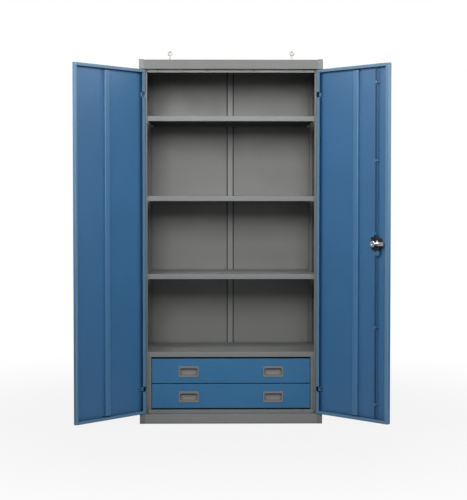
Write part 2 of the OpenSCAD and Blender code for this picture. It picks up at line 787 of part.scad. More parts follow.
// The hat-section stiffener on the inside of a door.
module door_stiffener() {
    a = stiffener_w / 2;
    b = stiffener_crown / 2;
    s = door_sheet;
    d = stiffener_d + s;
    z = door_z0 + stiffener_end;
    translate([stiffener_u, 0, z]) linear_extrude(door_z1 - stiffener_end - z) polygon([
        [-a, s], [-a, 2 * s], [-b - s, 2 * s], [-b, d], [b, d], [b + s, 2 * s], [a, 2 * s],
        [a, s], [b, s], [b - s, d - s], [s - b, d - s], [-b, s]
    ]);
}

module door_left_stiffener() {
    color([0.32, 0.48, 0.64]) on_left_door() door_stiffener();
}

module door_right_stiffener() {
    color([0.32, 0.48, 0.64]) on_right_door() door_stiffener();
}

// The ears on a door that hold its two hinge pins, above and below each arm.
module hinge_ears() {
    foot = door_sheet;
    for (z = hinge_levels, s = [-1, 1])
        translate([pin_u, 0, z + s * (arm_t / 2 + ear_gap + ear_t / 2) - ear_t / 2]) difference() {
            union() {
                translate([-ear_back, foot, 0]) cube([ear_back + ear_reach, pin_y - foot, ear_t]);
                translate([0, pin_y, 0]) cylinder(r = pin_r + ear_wall, h = ear_t);
            }
            translate([0, pin_y, -cut]) cylinder(r = pin_r + pin_fit, h = ear_t + 2 * cut);
            translate([-ear_reach, -cut, -cut]) cube([2 * ear_reach, foot + cut, ear_t + 2 * cut]);
        }
}

module door_left_hinge_ears() {
    color([0.5, 0.52, 0.54]) on_left_door() hinge_ears();
}

module door_right_hinge_ears() {
    color([0.5, 0.52, 0.54]) on_right_door() hinge_ears();
}

// A corner of the hinge arm, seen from above: t along the arm from the pin, on side s of it.
function arm_edge(t, s) = [
    half_w - pin_in - t * cos(arm_angle) + s * arm_w / 2 * sin(arm_angle),
    pin_y + t * sin(arm_angle) + s * arm_w / 2 * cos(arm_angle)
];

// How far along the arm its side s meets the middle of the foot plate.
function arm_end(s) = (foot_y + foot_t / 2 - pin_y - s * arm_w / 2 * cos(arm_angle)) / sin(arm_angle);

// The fixed half of one side's two hinges: an arm through the jamb, a pin and a foot plate.
module hinge_arms(left) {
    start = arm_boss_r - sheet;
    pin_h = arm_t + 2 * (ear_gap + ear_t);
    foot_x = half_w - pin_in - (foot_y - pin_y) / tan(arm_angle);
    color([0.55, 0.57, 0.6]) from_front() on_side(left) for (z = hinge_levels) {
        translate([half_w - pin_in, pin_y, z - arm_t / 2]) cylinder(r = arm_boss_r, h = arm_t);
        translate([half_w - pin_in, pin_y, z - pin_h / 2]) cylinder(r = pin_r, h = pin_h);
        translate([0, 0, z - arm_t / 2]) linear_extrude(arm_t)
            polygon([arm_edge(start, -1), arm_edge(start, 1),
                     arm_edge(arm_end(1), 1), arm_edge(arm_end(-1), -1)]);
        block([foot_x - foot_in, foot_y, z - foot_h / 2],
              [foot_x + foot_out, foot_y + foot_t, z + foot_h / 2]);
    }
}

// ---------------------------------------------------------------- latch

// A cylinder along the door's inward direction, from n0 to n1, on the latch's axis.
module turned(r, n0, n1) {
    translate([latch_u, n0, latch_z]) rotate([-90, 0, 0]) cylinder(r = r, h = n1 - n0);
}

// The round housing on the inside of the right door.
module latch_housing() {
    color([0.1, 0.1, 0.11]) on_right_door() difference() {
        union() {
            turned(housing_r, door_sheet, door_sheet + housing_d - rim_step);
            turned(housing_r - rim_step, door_sheet, door_sheet + housing_d);
        }
        turned(tube_r + latch_fit, 0, door_sheet + housing_d + cut);
    }
}

// The plate under the handle, on the outside of the right door.
module handle_rose() {
    color([0.12, 0.12, 0.13]) on_right_door() difference() {
        union() {
            turned(rose_r, -rose_t / 2, 0);
            turned(rose_r - rim_step, -rose_t, 0);
        }
        turned(tube_r + latch_fit, -rose_t - cut, cut);
    }
}

// The handle outside the door and the tube that turns the rotor.
module latch_handle() {
    color([0.15, 0.15, 0.16]) on_right_door() difference() {
        union() {
            turned(handle_boss_r, -handle_n - handle_d, -handle_n);
            translate([latch_u, -handle_n - handle_d, latch_z]) rotate([-90, 0, 0])
                linear_extrude(handle_bar_t) {
                    square([handle_l - handle_w, handle_w], center = true);
                    for (s = [-1, 1]) translate([s * (handle_l - handle_w) / 2, 0]) circle(handle_w / 2);
                }
            turned(tube_r, -handle_n - cut, tube_end);
        }
        turned(core_r + latch_fit, -handle_n - handle_d - cut, tube_end + cut);
    }
}

// The rotor disc, with its two crank pins half a turn apart.
module latch_rotor() {
    color([0.16, 0.16, 0.17]) on_right_door() difference() {
        union() {
            turned(rotor_r, rotor_n, rotor_n + rotor_t);
            for (s = [-1, 1])
                translate([s * crank_u, 0, s * crank_u])
                    turned(crank_pin_r, rotor_n, plate_n + rod_plate_t + crank_pin_end);
        }
        turned(tube_r + fixed_fit, rotor_n - cut, rotor_n + rotor_t + cut);
        for (s = [-1, 1])
            translate([s * rotor_hole_u, 0, -s * rotor_hole_z])
                turned(rotor_hole_r, rotor_n - cut, rotor_n + rotor_t + cut);
    }
}

// The lock cylinder: its key face outside, its core and its barrel inside.
module lock_cylinder() {
    face = -handle_n - handle_d - 0.8;
    color([0.82, 0.83, 0.84]) on_right_door() difference() {
        union() {
            turned(core_r, face, barrel_n + cut);
            turned(barrel_r, barrel_n, barrel_end - rim_step);
            turned(barrel_r - rim_step, barrel_n, barrel_end);
        }
        translate([latch_u - key_w / 2, face - cut, latch_z - key_h / 2]) cube([key_w, key_d + cut, key_h]);
        turned(core_r + 1, barrel_end - rim_step, barrel_end + cut);
    }
}

// The cam that the key turns. It points to the free edge of the door.
module lock_cam() {
    color([0.85, 0.86, 0.87]) on_right_door() difference() {
        union() {
            turned(cam_eye_r, cam_n, cam_n + cam_t);
            translate([latch_u, cam_n, latch_z - cam_w / 2]) cube([cam_l - cam_corner, cam_t, cam_w]);
            translate([latch_u, cam_n, latch_z + cam_corner - cam_w / 2])
                cube([cam_l, cam_t, cam_w - 2 * cam_corner]);
            for (s = [-1, 1]) translate([cam_l - cam_corner, 0, s * (cam_w / 2 - cam_corner)])
                turned(cam_corner, cam_n, cam_n + cam_t);
        }
        turned(core_r + fixed_fit, cam_n - cut, cam_n + cam_t + cut);
    }
}

// One latch rod with its slotted plate. The upper one sits on the rotor's lower crank pin side.
module latch_rod(up) {
    tip = up ? door_z1 - rod_tip_in : door_z0 + rod_tip_in;
    reach = abs(tip - latch_z);
    slot_low = crank_u - crank_pin_r - rod_slot_end;
    slot_high = crank_r + crank_pin_r + rod_slot_end;
    slot_half = crank_pin_r + rod_slot_play;
    pin_z = -crank_u;
    translate([latch_u, 0, latch_z]) rotate([0, up ? 0 : 180, 0]) difference() {
        union() {
            translate([0, rod_n, rod_inner]) cylinder(r = rod_r, h = reach - rod_inner);
            block([-slot_high - rod_margin, plate_n, pin_z - slot_half - rod_margin],
                  [rod_margin / 2 - slot_low, plate_n + rod_plate_t, rod_inner + rod_lap]);
            block([-slot_high - rod_margin, plate_n, rod_inner],
                  [rod_r, plate_n + rod_plate_t, rod_inner + rod_lap]);
        }
        block([-slot_high, plate_n - cut, pin_z - slot_half],
              [-slot_low, plate_n + rod_plate_t + cut, pin_z + slot_half]);
    }
}

module rod_upper() {
    color([0.35, 0.45, 0.55]) on_right_door() latch_rod(true);
}

module rod_lower() {
    color([0.35, 0.45, 0.55]) on_right_door() latch_rod(false);
}

// The guide blocks that hold the rods to the door.
module rod_guides() {
    levels = [door_z0 + guide_end, door_z0 + guide_inner, door_z1 - guide_inner, door_z1 - guide_end];
    color([0.3, 0.46, 0.62]) on_right_door() for (z = levels)
        translate([latch_u, 0, z - guide_h / 2]) difference() {
            union() {
                translate([-guide_foot_w / 2, door_sheet, 0]) cube([guide_foot_w, guide_foot_t, guide_h]);
                translate([-guide_w / 2, door_sheet, 0]) cube([guide_w, rod_n - door_sheet, guide_h]);
                translate([0, rod_n, 0]) cylinder(r = guide_w / 2, h = guide_h);
            }
            translate([0, rod_n, -cut]) cylinder(r = rod_r + guide_fit, h = guide_h + 2 * cut);
        }
}

// ---------------------------------------------------------------- small pieces

// Repeats a piece at the four lifting eyes, level with the top of the roof.
module at_eyes() {
    from_front() for (x = [-eye_x, eye_x], y = [eye_inset, cabinet_d - eye_inset])
        translate([x, y, roof_z - sheet_gap]) children();
}

// The four lifting eyes in the roof.
module lifting_eyes() {
    color([0.78, 0.79, 0.8]) at_eyes() {
        cylinder(r = eye_collar_r, h = eye_collar_t);
        cylinder(r = eye_neck_r, h = eye_neck);
        translate([0, 0, -eye_shank_l]) cylinder(r = eye_shank_r, h = eye_shank_l + eye_collar_t / 2);
        translate([0, 0, eye_neck + eye_r - eye_bar_r]) rotate([90, 0, 0])
            rotate_extrude() translate([eye_r - eye_bar_r, 0]) circle(eye_bar_r);
    }
}

// The nuts that hold the lifting eyes, under the roof.
module eye_nuts() {
    color([0.75, 0.76, 0.77]) at_eyes() translate([0, 0, -sheet - eye_nut_h]) difference() {
        cylinder(r = eye_nut_r, h = eye_nut_h, $fn = 6);
        translate([0, 0, -cut]) cylinder(r = eye_shank_r + eye_nut_fit, h = eye_nut_h + 2 * cut);
    }
}

// The rubber bumpers on the two stops.
module door_bumpers() {
    h = stop_y - door_t - bumper_gap;
    levels = [opening_top - top_stop_h / 2, plinth_h + floor_stop_h / 2 + bumper_r];
    color([0.3, 0.3, 0.3]) from_front() for (s = [-1, 1], x = [bumper_in, bumper_out], z = levels)
        translate([s * x, stop_y - h, z]) rotate([-90, 0, 0]) cylinder(r = bumper_r, h = h);
}

side_panel(true);  // side_panel_left
side_panel(false);  // side_panel_right
roof_panel();
header_stop();
floor_panel();
floor_stop();
base_frame();
back_panel(true);  // back_panel_left
back_panel(false);  // back_panel_right
back_rib();
upright(true, upright_y);  // upright_front_left
upright(false, upright_y);  // upright_front_right
upright(true, rear_upright_y);  // upright_rear_left
upright(false, rear_upright_y);  // upright_rear_right
shelf(shelf_lower_top);  // shelf_lower
shelf(shelf_middle_top);  // shelf_middle
shelf(shelf_upper_top);  // shelf_upper
shelf_clips();
drawer_deck();
bay_side(true);  // bay_side_left
bay_side(false);  // bay_side_right
runner_outer_members();
hinge_arms(true);  // hinge_arms_left
hinge_arms(false);  // hinge_arms_right
lifting_eyes();
eye_nuts();
door_bumpers();
door_left_panel();
door_left_stiffener();
door_left_hinge_ears();
door_right_panel();
door_right_stiffener();
door_right_hinge_ears();
latch_housing();
handle_rose();
rod_guides();
latch_handle();
latch_rotor();
lock_cylinder();
lock_cam();
rod_upper();
rod_lower();
drawer_front(front_levels[1]);  // drawer_upper_front
drawer_box(front_levels[1]);  // drawer_upper_box
drawer_pulls(front_levels[1]);  // drawer_upper_pulls
runner_inner(front_levels[1]);  // drawer_upper_runners
drawer_front(front_levels[0]);  // drawer_lower_front
drawer_box(front_levels[0]);  // drawer_lower_box
drawer_pulls(front_levels[0]);  // drawer_lower_pulls
runner_inner(front_levels[0]);  // drawer_lower_runners
runner_middle(front_levels[1]);  // runner_middle_upper
runner_middle(front_levels[0]);  // runner_middle_lower
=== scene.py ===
# %% [markdown]
# # A steel tool cabinet with two doors
# The real thing is folded from sheet steel and powder coated: a grey body, blue doors and two blue
# drawers. The engineering model already has every piece at its real size. This lesson loads it as a
# fixed frame, rounds the folds as a press brake does, adds the small hardware, and gives each finish
# its own shader. First come the imports and the frame.

# %% Load the frame
import json
from math import cos, pi, radians, sin, tau

import bmesh
import bpy
from mathutils import Matrix, Vector


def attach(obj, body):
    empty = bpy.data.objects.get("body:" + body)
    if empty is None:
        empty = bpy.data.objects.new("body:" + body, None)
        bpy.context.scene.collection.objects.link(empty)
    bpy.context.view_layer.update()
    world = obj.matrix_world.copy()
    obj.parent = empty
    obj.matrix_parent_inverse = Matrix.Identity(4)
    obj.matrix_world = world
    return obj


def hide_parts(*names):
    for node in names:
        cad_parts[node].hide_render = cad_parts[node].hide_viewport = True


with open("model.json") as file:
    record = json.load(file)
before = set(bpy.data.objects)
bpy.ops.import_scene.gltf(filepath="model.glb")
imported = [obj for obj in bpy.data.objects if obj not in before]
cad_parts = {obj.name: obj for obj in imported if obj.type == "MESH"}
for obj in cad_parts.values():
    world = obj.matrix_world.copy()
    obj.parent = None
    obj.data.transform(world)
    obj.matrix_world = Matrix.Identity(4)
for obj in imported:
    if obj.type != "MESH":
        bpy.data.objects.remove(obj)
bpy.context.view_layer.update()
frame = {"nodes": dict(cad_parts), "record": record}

NODES = frame["nodes"]
MM = 0.001

# %% [markdown]
# ## The camera
# The photograph was taken from a little over the middle of the cabinet's height, almost straight in
# front, looking slightly down. The lens could be guessed by eye, but here its focal length is known in
# pixels from a fit to the corners. Blender wants millimetres for a sensor on the picture's long side,
# so one is worked out from the other.

# %% Place the camera
PICTURE_LONG_SIDE = 500
FOCAL_PIXELS = 1251.7
SENSOR = 36.0
CAMERA_PLACE = (-0.0638, -6.7688, 1.1445)
CAMERA_DOWN = 2.056
CAMERA_RIGHT = 0.674


def place_camera():
    """The photographer's camera, turned by two angles in degrees."""
    data = bpy.data.cameras.new("photo_camera")
    data.sensor_width = SENSOR
    data.lens = FOCAL_PIXELS * SENSOR / PICTURE_LONG_SIDE
    camera = bpy.data.objects.new("photo_camera", data)
    camera.location = CAMERA_PLACE
    camera.rotation_euler = (radians(90 - CAMERA_DOWN), 0, radians(-CAMERA_RIGHT))
    bpy.context.scene.collection.objects.link(camera)
    bpy.context.scene.camera = camera
    return camera


print(f"the lens is {place_camera().data.lens:.1f} mm")

# %% [markdown]
# ## Light
# A catalogue picture is lit by big soft boxes over a white floor. A wide one hangs above and in front,
# which is why each compartment is dark just under its shelf. Its beam is narrowed and aimed at the
# upper half, so the light falls off towards the floor as it does in the photograph. Two smaller
# boxes stand high on both sides for the open doors, and three more light the sides, the back and the
# roof. Sun lamps would be simpler, but their shadows would be hard.

# %% Hang the soft boxes
VIEW = bpy.context.scene.view_settings
VIEW.view_transform = "Standard"
MIDDLE = Vector((0, 0, 0.95))
UPPER_HALF = Vector((0, 0, 1.75))
WIDE_BEAM, NARROW_BEAM = 180, 76


def soft_box(name, place, size, watts, aim=MIDDLE, beam=WIDE_BEAM):
    """A lamp of a width and height in metres, turned to face a point; its beam is in degrees."""
    lamp = bpy.data.lights.new(name, "AREA")
    lamp.shape = "RECTANGLE"
    lamp.size, lamp.size_y = size
    lamp.energy = watts
    lamp.spread = radians(beam)
    box = bpy.data.objects.new(name, lamp)
    box.location = place
    box.rotation_euler = (aim - Vector(place)).to_track_quat("-Z", "Y").to_euler()
    bpy.context.scene.collection.objects.link(box)
    return box


LAMPS = [
    soft_box("over_the_camera", (-0.3, -5.0, 2.75), (3.0, 1.7), 30, UPPER_HALF, NARROW_BEAM),
    soft_box("high_left", (-2.3, -2.2, 3.3), (1.3, 1.3), 60),
    soft_box("high_right", (2.4, -2.2, 3.3), (1.3, 1.3), 58),
    soft_box("far_left", (-5.0, 1.2, 2.4), (2.0, 2.4), 55),
    soft_box("far_right", (5.0, 1.2, 2.4), (2.0, 2.4), 55),
    soft_box("behind_and_above", (0.6, 3.2, 4.6), (3.0, 2.0), 110),
]
print(f"{len(LAMPS)} lamps of {sum(lamp.data.energy for lamp in LAMPS):.0f} W together")

# %% [markdown]
# ## White surroundings
# Behind the cabinet hangs white paper. More light would whiten it, but would wash out the steel too.
# Instead the world answers by the kind of ray: what the camera or a reflection sees is plain white,
# and what falls on the steel stays at a low, slightly blue level.

# %% Whiten the surroundings for the camera
ROOM_LIGHT = 0.05
ROOM_TINT = (0.93, 0.96, 1.0, 1)
SEEN_WHITE = (1, 1, 1, 1)


def seen_rays(tree, kinds=("Is Camera Ray", "Is Glossy Ray", "Is Transmission Ray")):
    """A value of 1 for the kinds of ray named, and 0 for the rest."""
    path = tree.nodes.new("ShaderNodeLightPath")
    total = path.outputs[kinds[0]]
    for kind in kinds[1:]:
        both = tree.nodes.new("ShaderNodeMath")
        both.operation = "MAXIMUM"
        tree.links.new(total, both.inputs[0])
        tree.links.new(path.outputs[kind], both.inputs[1])
        total = both.outputs[0]
    return total


def white_room():
    world = bpy.data.worlds.new("white_room")
    world.use_nodes = True
    tree = world.node_tree
    room = tree.nodes["Background"]
    room.inputs["Color"].default_value = ROOM_TINT
    room.inputs["Strength"].default_value = ROOM_LIGHT
    seen = tree.nodes.new("ShaderNodeBackground")
    seen.inputs["Color"].default_value = SEEN_WHITE
    mix = tree.nodes.new("ShaderNodeMixShader")
    tree.links.new(seen_rays(tree), mix.inputs["Fac"])
    tree.links.new(room.outputs[0], mix.inputs[1])
    tree.links.new(seen.outputs[0], mix.inputs[2])
    tree.links.new(mix.outputs[0], tree.nodes["World Output"].inputs["Surface"])
    bpy.context.scene.world = world
    return world


print(f"the room gives {ROOM_LIGHT} of plain light: {white_room().name}")

# %% [markdown]
# ## The floor
# The floor is a plain pale sheet. It takes the cabinet's shadow as any matt floor does, and a part of
# its white is added for the camera alone. That part grows with the distance from the cabinet, so the
# floor runs into the white room without an edge and still keeps a faint shadow at the plinth.

# %% Lay the floor
FLOOR_REACH = 30.0
FLOOR_PALE = (0.38, 0.38, 0.38, 1)
FLOOR_ROUGHNESS = 0.9
LIFT_NEAR, LIFT_FAR = 0.86, 1.0
NEAR, FAR = 0.7, 3.2


def floor_material():
    material = bpy.data.materials.new("pale_floor")
    material.use_nodes = True
    tree = material.node_tree
    sheet = tree.nodes["Principled BSDF"]
    sheet.inputs["Base Color"].default_value = FLOOR_PALE
    sheet.inputs["Roughness"].default_value = FLOOR_ROUGHNESS
    sheet.inputs["Specular IOR Level"].default_value = 0.0
    white = tree.nodes.new("ShaderNodeEmission")
    white.inputs["Color"].default_value = SEEN_WHITE
    place = tree.nodes.new("ShaderNodeNewGeometry")
    away = tree.nodes.new("ShaderNodeVectorMath")
    away.operation = "LENGTH"
    tree.links.new(place.outputs["Position"], away.inputs[0])
    lift = tree.nodes.new("ShaderNodeMapRange")
    lift.interpolation_type = "SMOOTHSTEP"
    span = {"From Min": NEAR, "From Max": FAR, "To Min": LIFT_NEAR, "To Max": LIFT_FAR}
    for name, value in span.items():
        lift.inputs[name].default_value = value
    tree.links.new(away.outputs["Value"], lift.inputs["Value"])
    amount = tree.nodes.new("ShaderNodeMath")
    amount.operation = "MULTIPLY"
    tree.links.new(seen_rays(tree, ("Is Camera Ray",)), amount.inputs[0])
    tree.links.new(lift.outputs["Result"], amount.inputs[1])
    both = tree.nodes.new("ShaderNodeMixShader")
    tree.links.new(amount.outputs[0], both.inputs["Fac"])
    tree.links.new(sheet.outputs[0], both.inputs[1])
    tree.links.new(white.outputs[0], both.inputs[2])
    tree.links.new(both.outputs[0], tree.nodes["Material Output"].inputs["Surface"])
    return material


def lay_floor():
    mesh = bpy.data.meshes.new("floor")
    corners = [(x, y, 0) for x, y in ((-1, -1), (1, -1), (1, 1), (-1, 1))]
    mesh.from_pydata([Vector(c) * FLOOR_REACH for c in corners], [], [(0, 1, 2, 3)])
    mesh.materials.append(floor_material())
    floor = bpy.data.objects.new("floor", mesh)
    bpy.context.scene.collection.objects.link(floor)
    return floor


print(f"the floor is {lay_floor().dimensions.x:.0f} m wide")

# %% [markdown]
# ## Shader groups that several finishes share
# Each effect of the paint and the metal is one small node group with its own inputs, built once and
# placed in every material that needs it. Copying the nodes into each material would work too, but a
# change would then be made many times. A few helpers keep the building of nodes short.

# %% Helpers for groups and wires
FLOAT, COLOUR, NORMAL = "NodeSocketFloat", "NodeSocketColor", "NodeSocketVector"


def new_group(name, inputs, outputs):
    """An empty group with named sockets, and the nodes that stand for its two ends."""
    tree = bpy.data.node_groups.new(name, "ShaderNodeTree")
    for label, kind, value in inputs:
        socket = tree.interface.new_socket(label, in_out="INPUT", socket_type=kind)
        socket.default_value = value
    for label, kind in outputs:
        tree.interface.new_socket(label, in_out="OUTPUT", socket_type=kind)
    return tree, tree.nodes.new("NodeGroupInput"), tree.nodes.new("NodeGroupOutput")


def add(tree, kind, settings=None, values=None, wires=None):
    """One node, with its settings, its plain socket values and the sockets that feed it."""
    node = tree.nodes.new(kind)
    for key, value in (settings or {}).items():
        setattr(node, key, value)
    for key, value in (values or {}).items():
        node.inputs[key].default_value = value
    for key, source in (wires or {}).items():
        tree.links.new(source, node.inputs[key])
    return node


def maths(tree, operation, first, second):
    """A sum, product or other operation on two sockets."""
    node = add(tree, "ShaderNodeMath", {"operation": operation}, wires={0: first, 1: second})
    return node.outputs[0]


def on_object(tree):
    """The place on the piece itself, in metres."""
    return add(tree, "ShaderNodeTexCoord").outputs["Object"]


def spread(tree, source, low, high, to_low, to_high):
    """Maps a value from one span to another."""
    values = {"From Min": low, "From Max": high, "To Min": to_low, "To Max": to_high}
    return add(tree, "ShaderNodeMapRange", values=values, wires={"Value": source}).outputs["Result"]


print("helpers are ready")

# %% [markdown]
# Powder coat melts and flows out as it bakes. It keeps a faint orange peel, it is never quite one colour
# over a wide sheet, and its gloss varies where hands have been. Three noises of different sizes stand
# for the three.

# %% Build the powder coat group
MOTTLE_SCALE, WEAR_SCALE, WEAR_SWING = 3.1, 11.0, 0.05


def powder_coat_group():
    """Colour with a slow mottle, a roughness that varies, and the orange peel as a height."""
    inputs = [("Colour", COLOUR, (0.3, 0.3, 0.3, 1)), ("Mottle", FLOAT, 0.06),
              ("Roughness", FLOAT, 0.4), ("Peel Size", FLOAT, 420.0)]
    outputs = [("Colour", COLOUR), ("Roughness", FLOAT), ("Peel", FLOAT)]
    tree, start, end = new_group("powder coat", inputs, outputs)
    place = on_object(tree)
    slow = add(tree, "ShaderNodeTexNoise", values={"Scale": MOTTLE_SCALE, "Detail": 4.0},
               wires={"Vector": place})
    drift = spread(tree, slow.outputs["Fac"], 0.25, 0.75, -1, 1)
    lift = add(tree, "ShaderNodeMath", {"operation": "MULTIPLY_ADD"}, {2: 1.0},
               {0: drift, 1: start.outputs["Mottle"]})
    tint = add(tree, "ShaderNodeVectorMath", {"operation": "SCALE"},
               wires={0: start.outputs["Colour"], "Scale": lift.outputs[0]})
    worn = add(tree, "ShaderNodeTexNoise", values={"Scale": WEAR_SCALE, "Detail": 6.0},
               wires={"Vector": place})
    rough = maths(tree, "ADD", start.outputs["Roughness"],
                  spread(tree, worn.outputs["Fac"], 0.3, 0.7, -WEAR_SWING, WEAR_SWING))
    peel = add(tree, "ShaderNodeTexNoise", values={"Detail": 2.0, "Roughness": 0.55},
               wires={"Vector": place, "Scale": start.outputs["Peel Size"]})
    tree.links.new(tint.outputs[0], end.inputs["Colour"])
    tree.links.new(rough, end.inputs["Roughness"])
    tree.links.new(peel.outputs["Fac"], end.inputs["Peel"])
    return tree


POWDER_COAT = powder_coat_group()
print(f"{POWDER_COAT.name}: {len(POWDER_COAT.nodes)} nodes")

# %% [markdown]
# The coat draws back from sharp edges and lies pale and worn there, and the paler edges also stand for
# the highlights that the folds catch, so they are partly wear and partly painted highlight. The Bevel
# node gives the normal that a rounder edge would have. Where it differs from the true normal there is
# an edge, so no edge has to be painted by hand.

# %% Build the edge group
EDGE_REACH = 1.4 * MM
NO_EDGE, FULL_EDGE = 0.995, 0.86
CHIP_SCALE, CHIP_LEAST = 60.0, 0.35


def edge_group():
    """A mask of edge wear and painted highlight: 1 along sharp edges, broken up so no edge is even."""
    tree, start, end = new_group("worn and highlit edges", [("Amount", FLOAT, 0.5)], [("Mask", FLOAT)])
    soft = add(tree, "ShaderNodeBevel", {"samples": 4}, {"Radius": EDGE_REACH})
    plain = add(tree, "ShaderNodeNewGeometry")
    same = add(tree, "ShaderNodeVectorMath", {"operation": "DOT_PRODUCT"},
               wires={0: soft.outputs[0], 1: plain.outputs["Normal"]})
    edge = spread(tree, same.outputs["Value"], NO_EDGE, FULL_EDGE, 0, 1)
    chips = add(tree, "ShaderNodeTexNoise", values={"Scale": CHIP_SCALE, "Detail": 5.0},
                wires={"Vector": on_object(tree)})
    left = spread(tree, chips.outputs["Fac"], 0.3, 0.7, CHIP_LEAST, 1)
    broken = maths(tree, "MULTIPLY", edge, left)
    tree.links.new(maths(tree, "MULTIPLY", broken, start.outputs["Amount"]), end.inputs["Mask"])
    return tree


THIN_EDGES = edge_group()
print(f"{THIN_EDGES.name}: {len(THIN_EDGES.nodes)} nodes")

# %% [markdown]
# Dust settles on what faces up: the roof, the shelves and the lips of the doors. The upward part of
# the normal says where, and a noise lays it in patches.

# %% Build the dust group
DUSTY_FROM = 0.6
PATCH_SCALE, PATCH_LEAST = 7.0, 0.2


def dust_group():
    """A mask of the dust that lies on what faces up, thicker in patches."""
    tree, start, end = new_group("settled dust", [("Amount", FLOAT, 0.2)], [("Mask", FLOAT)])
    facing = add(tree, "ShaderNodeNewGeometry")
    up = add(tree, "ShaderNodeSeparateXYZ", wires={0: facing.outputs["Normal"]})
    level = spread(tree, up.outputs["Z"], DUSTY_FROM, 1, 0, 1)
    patch = add(tree, "ShaderNodeTexNoise", values={"Scale": PATCH_SCALE, "Detail": 8.0},
                wires={"Vector": on_object(tree)})
    thick = spread(tree, patch.outputs["Fac"], 0.35, 0.7, PATCH_LEAST, 1)
    patchy = maths(tree, "MULTIPLY", level, thick)
    tree.links.new(maths(tree, "MULTIPLY", patchy, start.outputs["Amount"]), end.inputs["Mask"])
    return tree


DUST = dust_group()
print(f"{DUST.name}: {len(DUST.nodes)} nodes")

# %% [markdown]
# Far into a fold or a gap the colour is darkened as painted shade, for the shadow that falls there.
# The Ambient Occlusion node measures how much of the open air a point sees within a short reach.

# %% Build the painted crevice shade group
SHADE_REACH = 26 * MM
OPEN_AIR, SHUT_IN = 0.75, 0.25


def crevice_shade_group():
    """A mask of painted shade that is 1 far into gaps and folds."""
    inputs = [("Amount", FLOAT, 0.5), ("Reach", FLOAT, SHADE_REACH)]
    tree, start, end = new_group("painted_crevice_shade", inputs, [("Mask", FLOAT)])
    seen = add(tree, "ShaderNodeAmbientOcclusion", {"samples": 6},
               wires={"Distance": start.outputs["Reach"]})
    painted_shade = spread(tree, seen.outputs["AO"], OPEN_AIR, SHUT_IN, 0, 1)
    tree.links.new(maths(tree, "MULTIPLY", painted_shade, start.outputs["Amount"]), end.inputs["Mask"])
    return tree


CREVICES = crevice_shade_group()
print(f"{CREVICES.name}: {len(CREVICES.nodes)} nodes")

# %% [markdown]
# The lips of the doors and the crowns of their stiffeners stand out most, and a paler colour there is
# painted highlight, for the light that they catch. A depth from a plane is enough to pick them out,
# whichever way the piece is turned.

# %% Build the lip group
def lip_group():
    """A mask of what stands at least so far in from a plane, such as a door's outer face."""
    inputs = [("Facing", NORMAL, (0, 1, 0)), ("Plane", FLOAT, 0.0), ("Start", FLOAT, 18.0),
              ("Full", FLOAT, 20.3)]
    tree, start, end = new_group("depth band", inputs, [("Mask", FLOAT)])
    depth = add(tree, "ShaderNodeVectorMath", {"operation": "DOT_PRODUCT"},
                wires={0: on_object(tree), 1: start.outputs["Facing"]})
    inside = maths(tree, "SUBTRACT", depth.outputs["Value"], start.outputs["Plane"])
    in_mm = add(tree, "ShaderNodeMath", {"operation": "DIVIDE"}, {1: MM}, {0: inside})
    ramp = add(tree, "ShaderNodeMapRange", {"interpolation_type": "SMOOTHSTEP"},
               wires={"Value": in_mm.outputs[0], "From Min": start.outputs["Start"],
                      "From Max": start.outputs["Full"]})
    tree.links.new(ramp.outputs["Result"], end.inputs["Mask"])
    return tree


LIPS = lip_group()
print(f"{LIPS.name}: {len(LIPS.nodes)} nodes")

# %% [markdown]
# Rolled, brushed and turned metal all show fine parallel lines. One noise, squeezed across the lines
# and stretched along them, serves for each.

# %% Build the grain group
def grain_group():
    """Fine parallel lines: a height and a mask."""
    inputs = [("Scale", FLOAT, 40.0), ("Stretch", NORMAL, (1, 1, 20))]
    tree, start, end = new_group("metal grain", inputs, [("Height", FLOAT), ("Mask", FLOAT)])
    pulled = add(tree, "ShaderNodeVectorMath", {"operation": "DIVIDE"},
                 wires={0: on_object(tree), 1: start.outputs["Stretch"]})
    lines = add(tree, "ShaderNodeTexNoise", values={"Detail": 3.0},
                wires={"Vector": pulled.outputs[0], "Scale": start.outputs["Scale"]})
    tree.links.new(lines.outputs["Fac"], end.inputs["Height"])
    tree.links.new(spread(tree, lines.outputs["Fac"], 0.3, 0.7, 0, 1), end.inputs["Mask"])
    return tree


GRAIN = grain_group()
print(f"{GRAIN.name}: {len(GRAIN.nodes)} nodes")

# %% [markdown]
# ## The finishes
# Colours are written as they look on a screen, 0 to 255 a channel, because that is how one reads them
# off a paint card. Blender mixes in linear light, so one helper turns them over.

# %% Helpers for materials
def linear(red, green, blue):
    """A screen colour, 0 to 255 a channel, as Blender's linear colour."""
    parts = [value / 255 for value in (red, green, blue)]
    return tuple(p / 12.92 if p <= 0.04045 else ((p + 0.055) / 1.055) ** 2.4 for p in parts) + (1,)


def new_material(name, **constants):
    """A material, its nodes and its shader, with what is the same all over set on the shader itself."""
    material = bpy.data.materials.new(name)
    material.use_nodes = True
    shader = material.node_tree.nodes["Principled BSDF"]
    for key, value in constants.items():
        shader.inputs[key.replace("_", " ")].default_value = value
    return material, material.node_tree, shader


def place_group(tree, group, **values):
    """A shared group with this material's own values."""
    node = add(tree, "ShaderNodeGroup", {"node_tree": group})
    for key, value in values.items():
        node.inputs[key.replace("_", " ")].default_value = value
    return node


def blend(tree, mask, first, second):
    """first where the mask is 0 and second where it is 1."""
    node = add(tree, "ShaderNodeMix", {"data_type": "RGBA"})
    tree.links.new(mask, node.inputs["Factor"])
    for socket, colour in ((node.inputs[6], first), (node.inputs[7], second)):
        if isinstance(colour, tuple):
            socket.default_value = colour
        else:
            tree.links.new(colour, socket)
    return node.outputs[2]


def bump(tree, shader, height, distance, strength=0.5):
    """Lets a height bend the light, over a distance in metres."""
    node = add(tree, "ShaderNodeBump", values={"Distance": distance, "Strength": strength},
               wires={"Height": height})
    tree.links.new(node.outputs[0], shader.inputs["Normal"])


print("a screen grey of 128 is", round(linear(128, 128, 128)[0], 3))

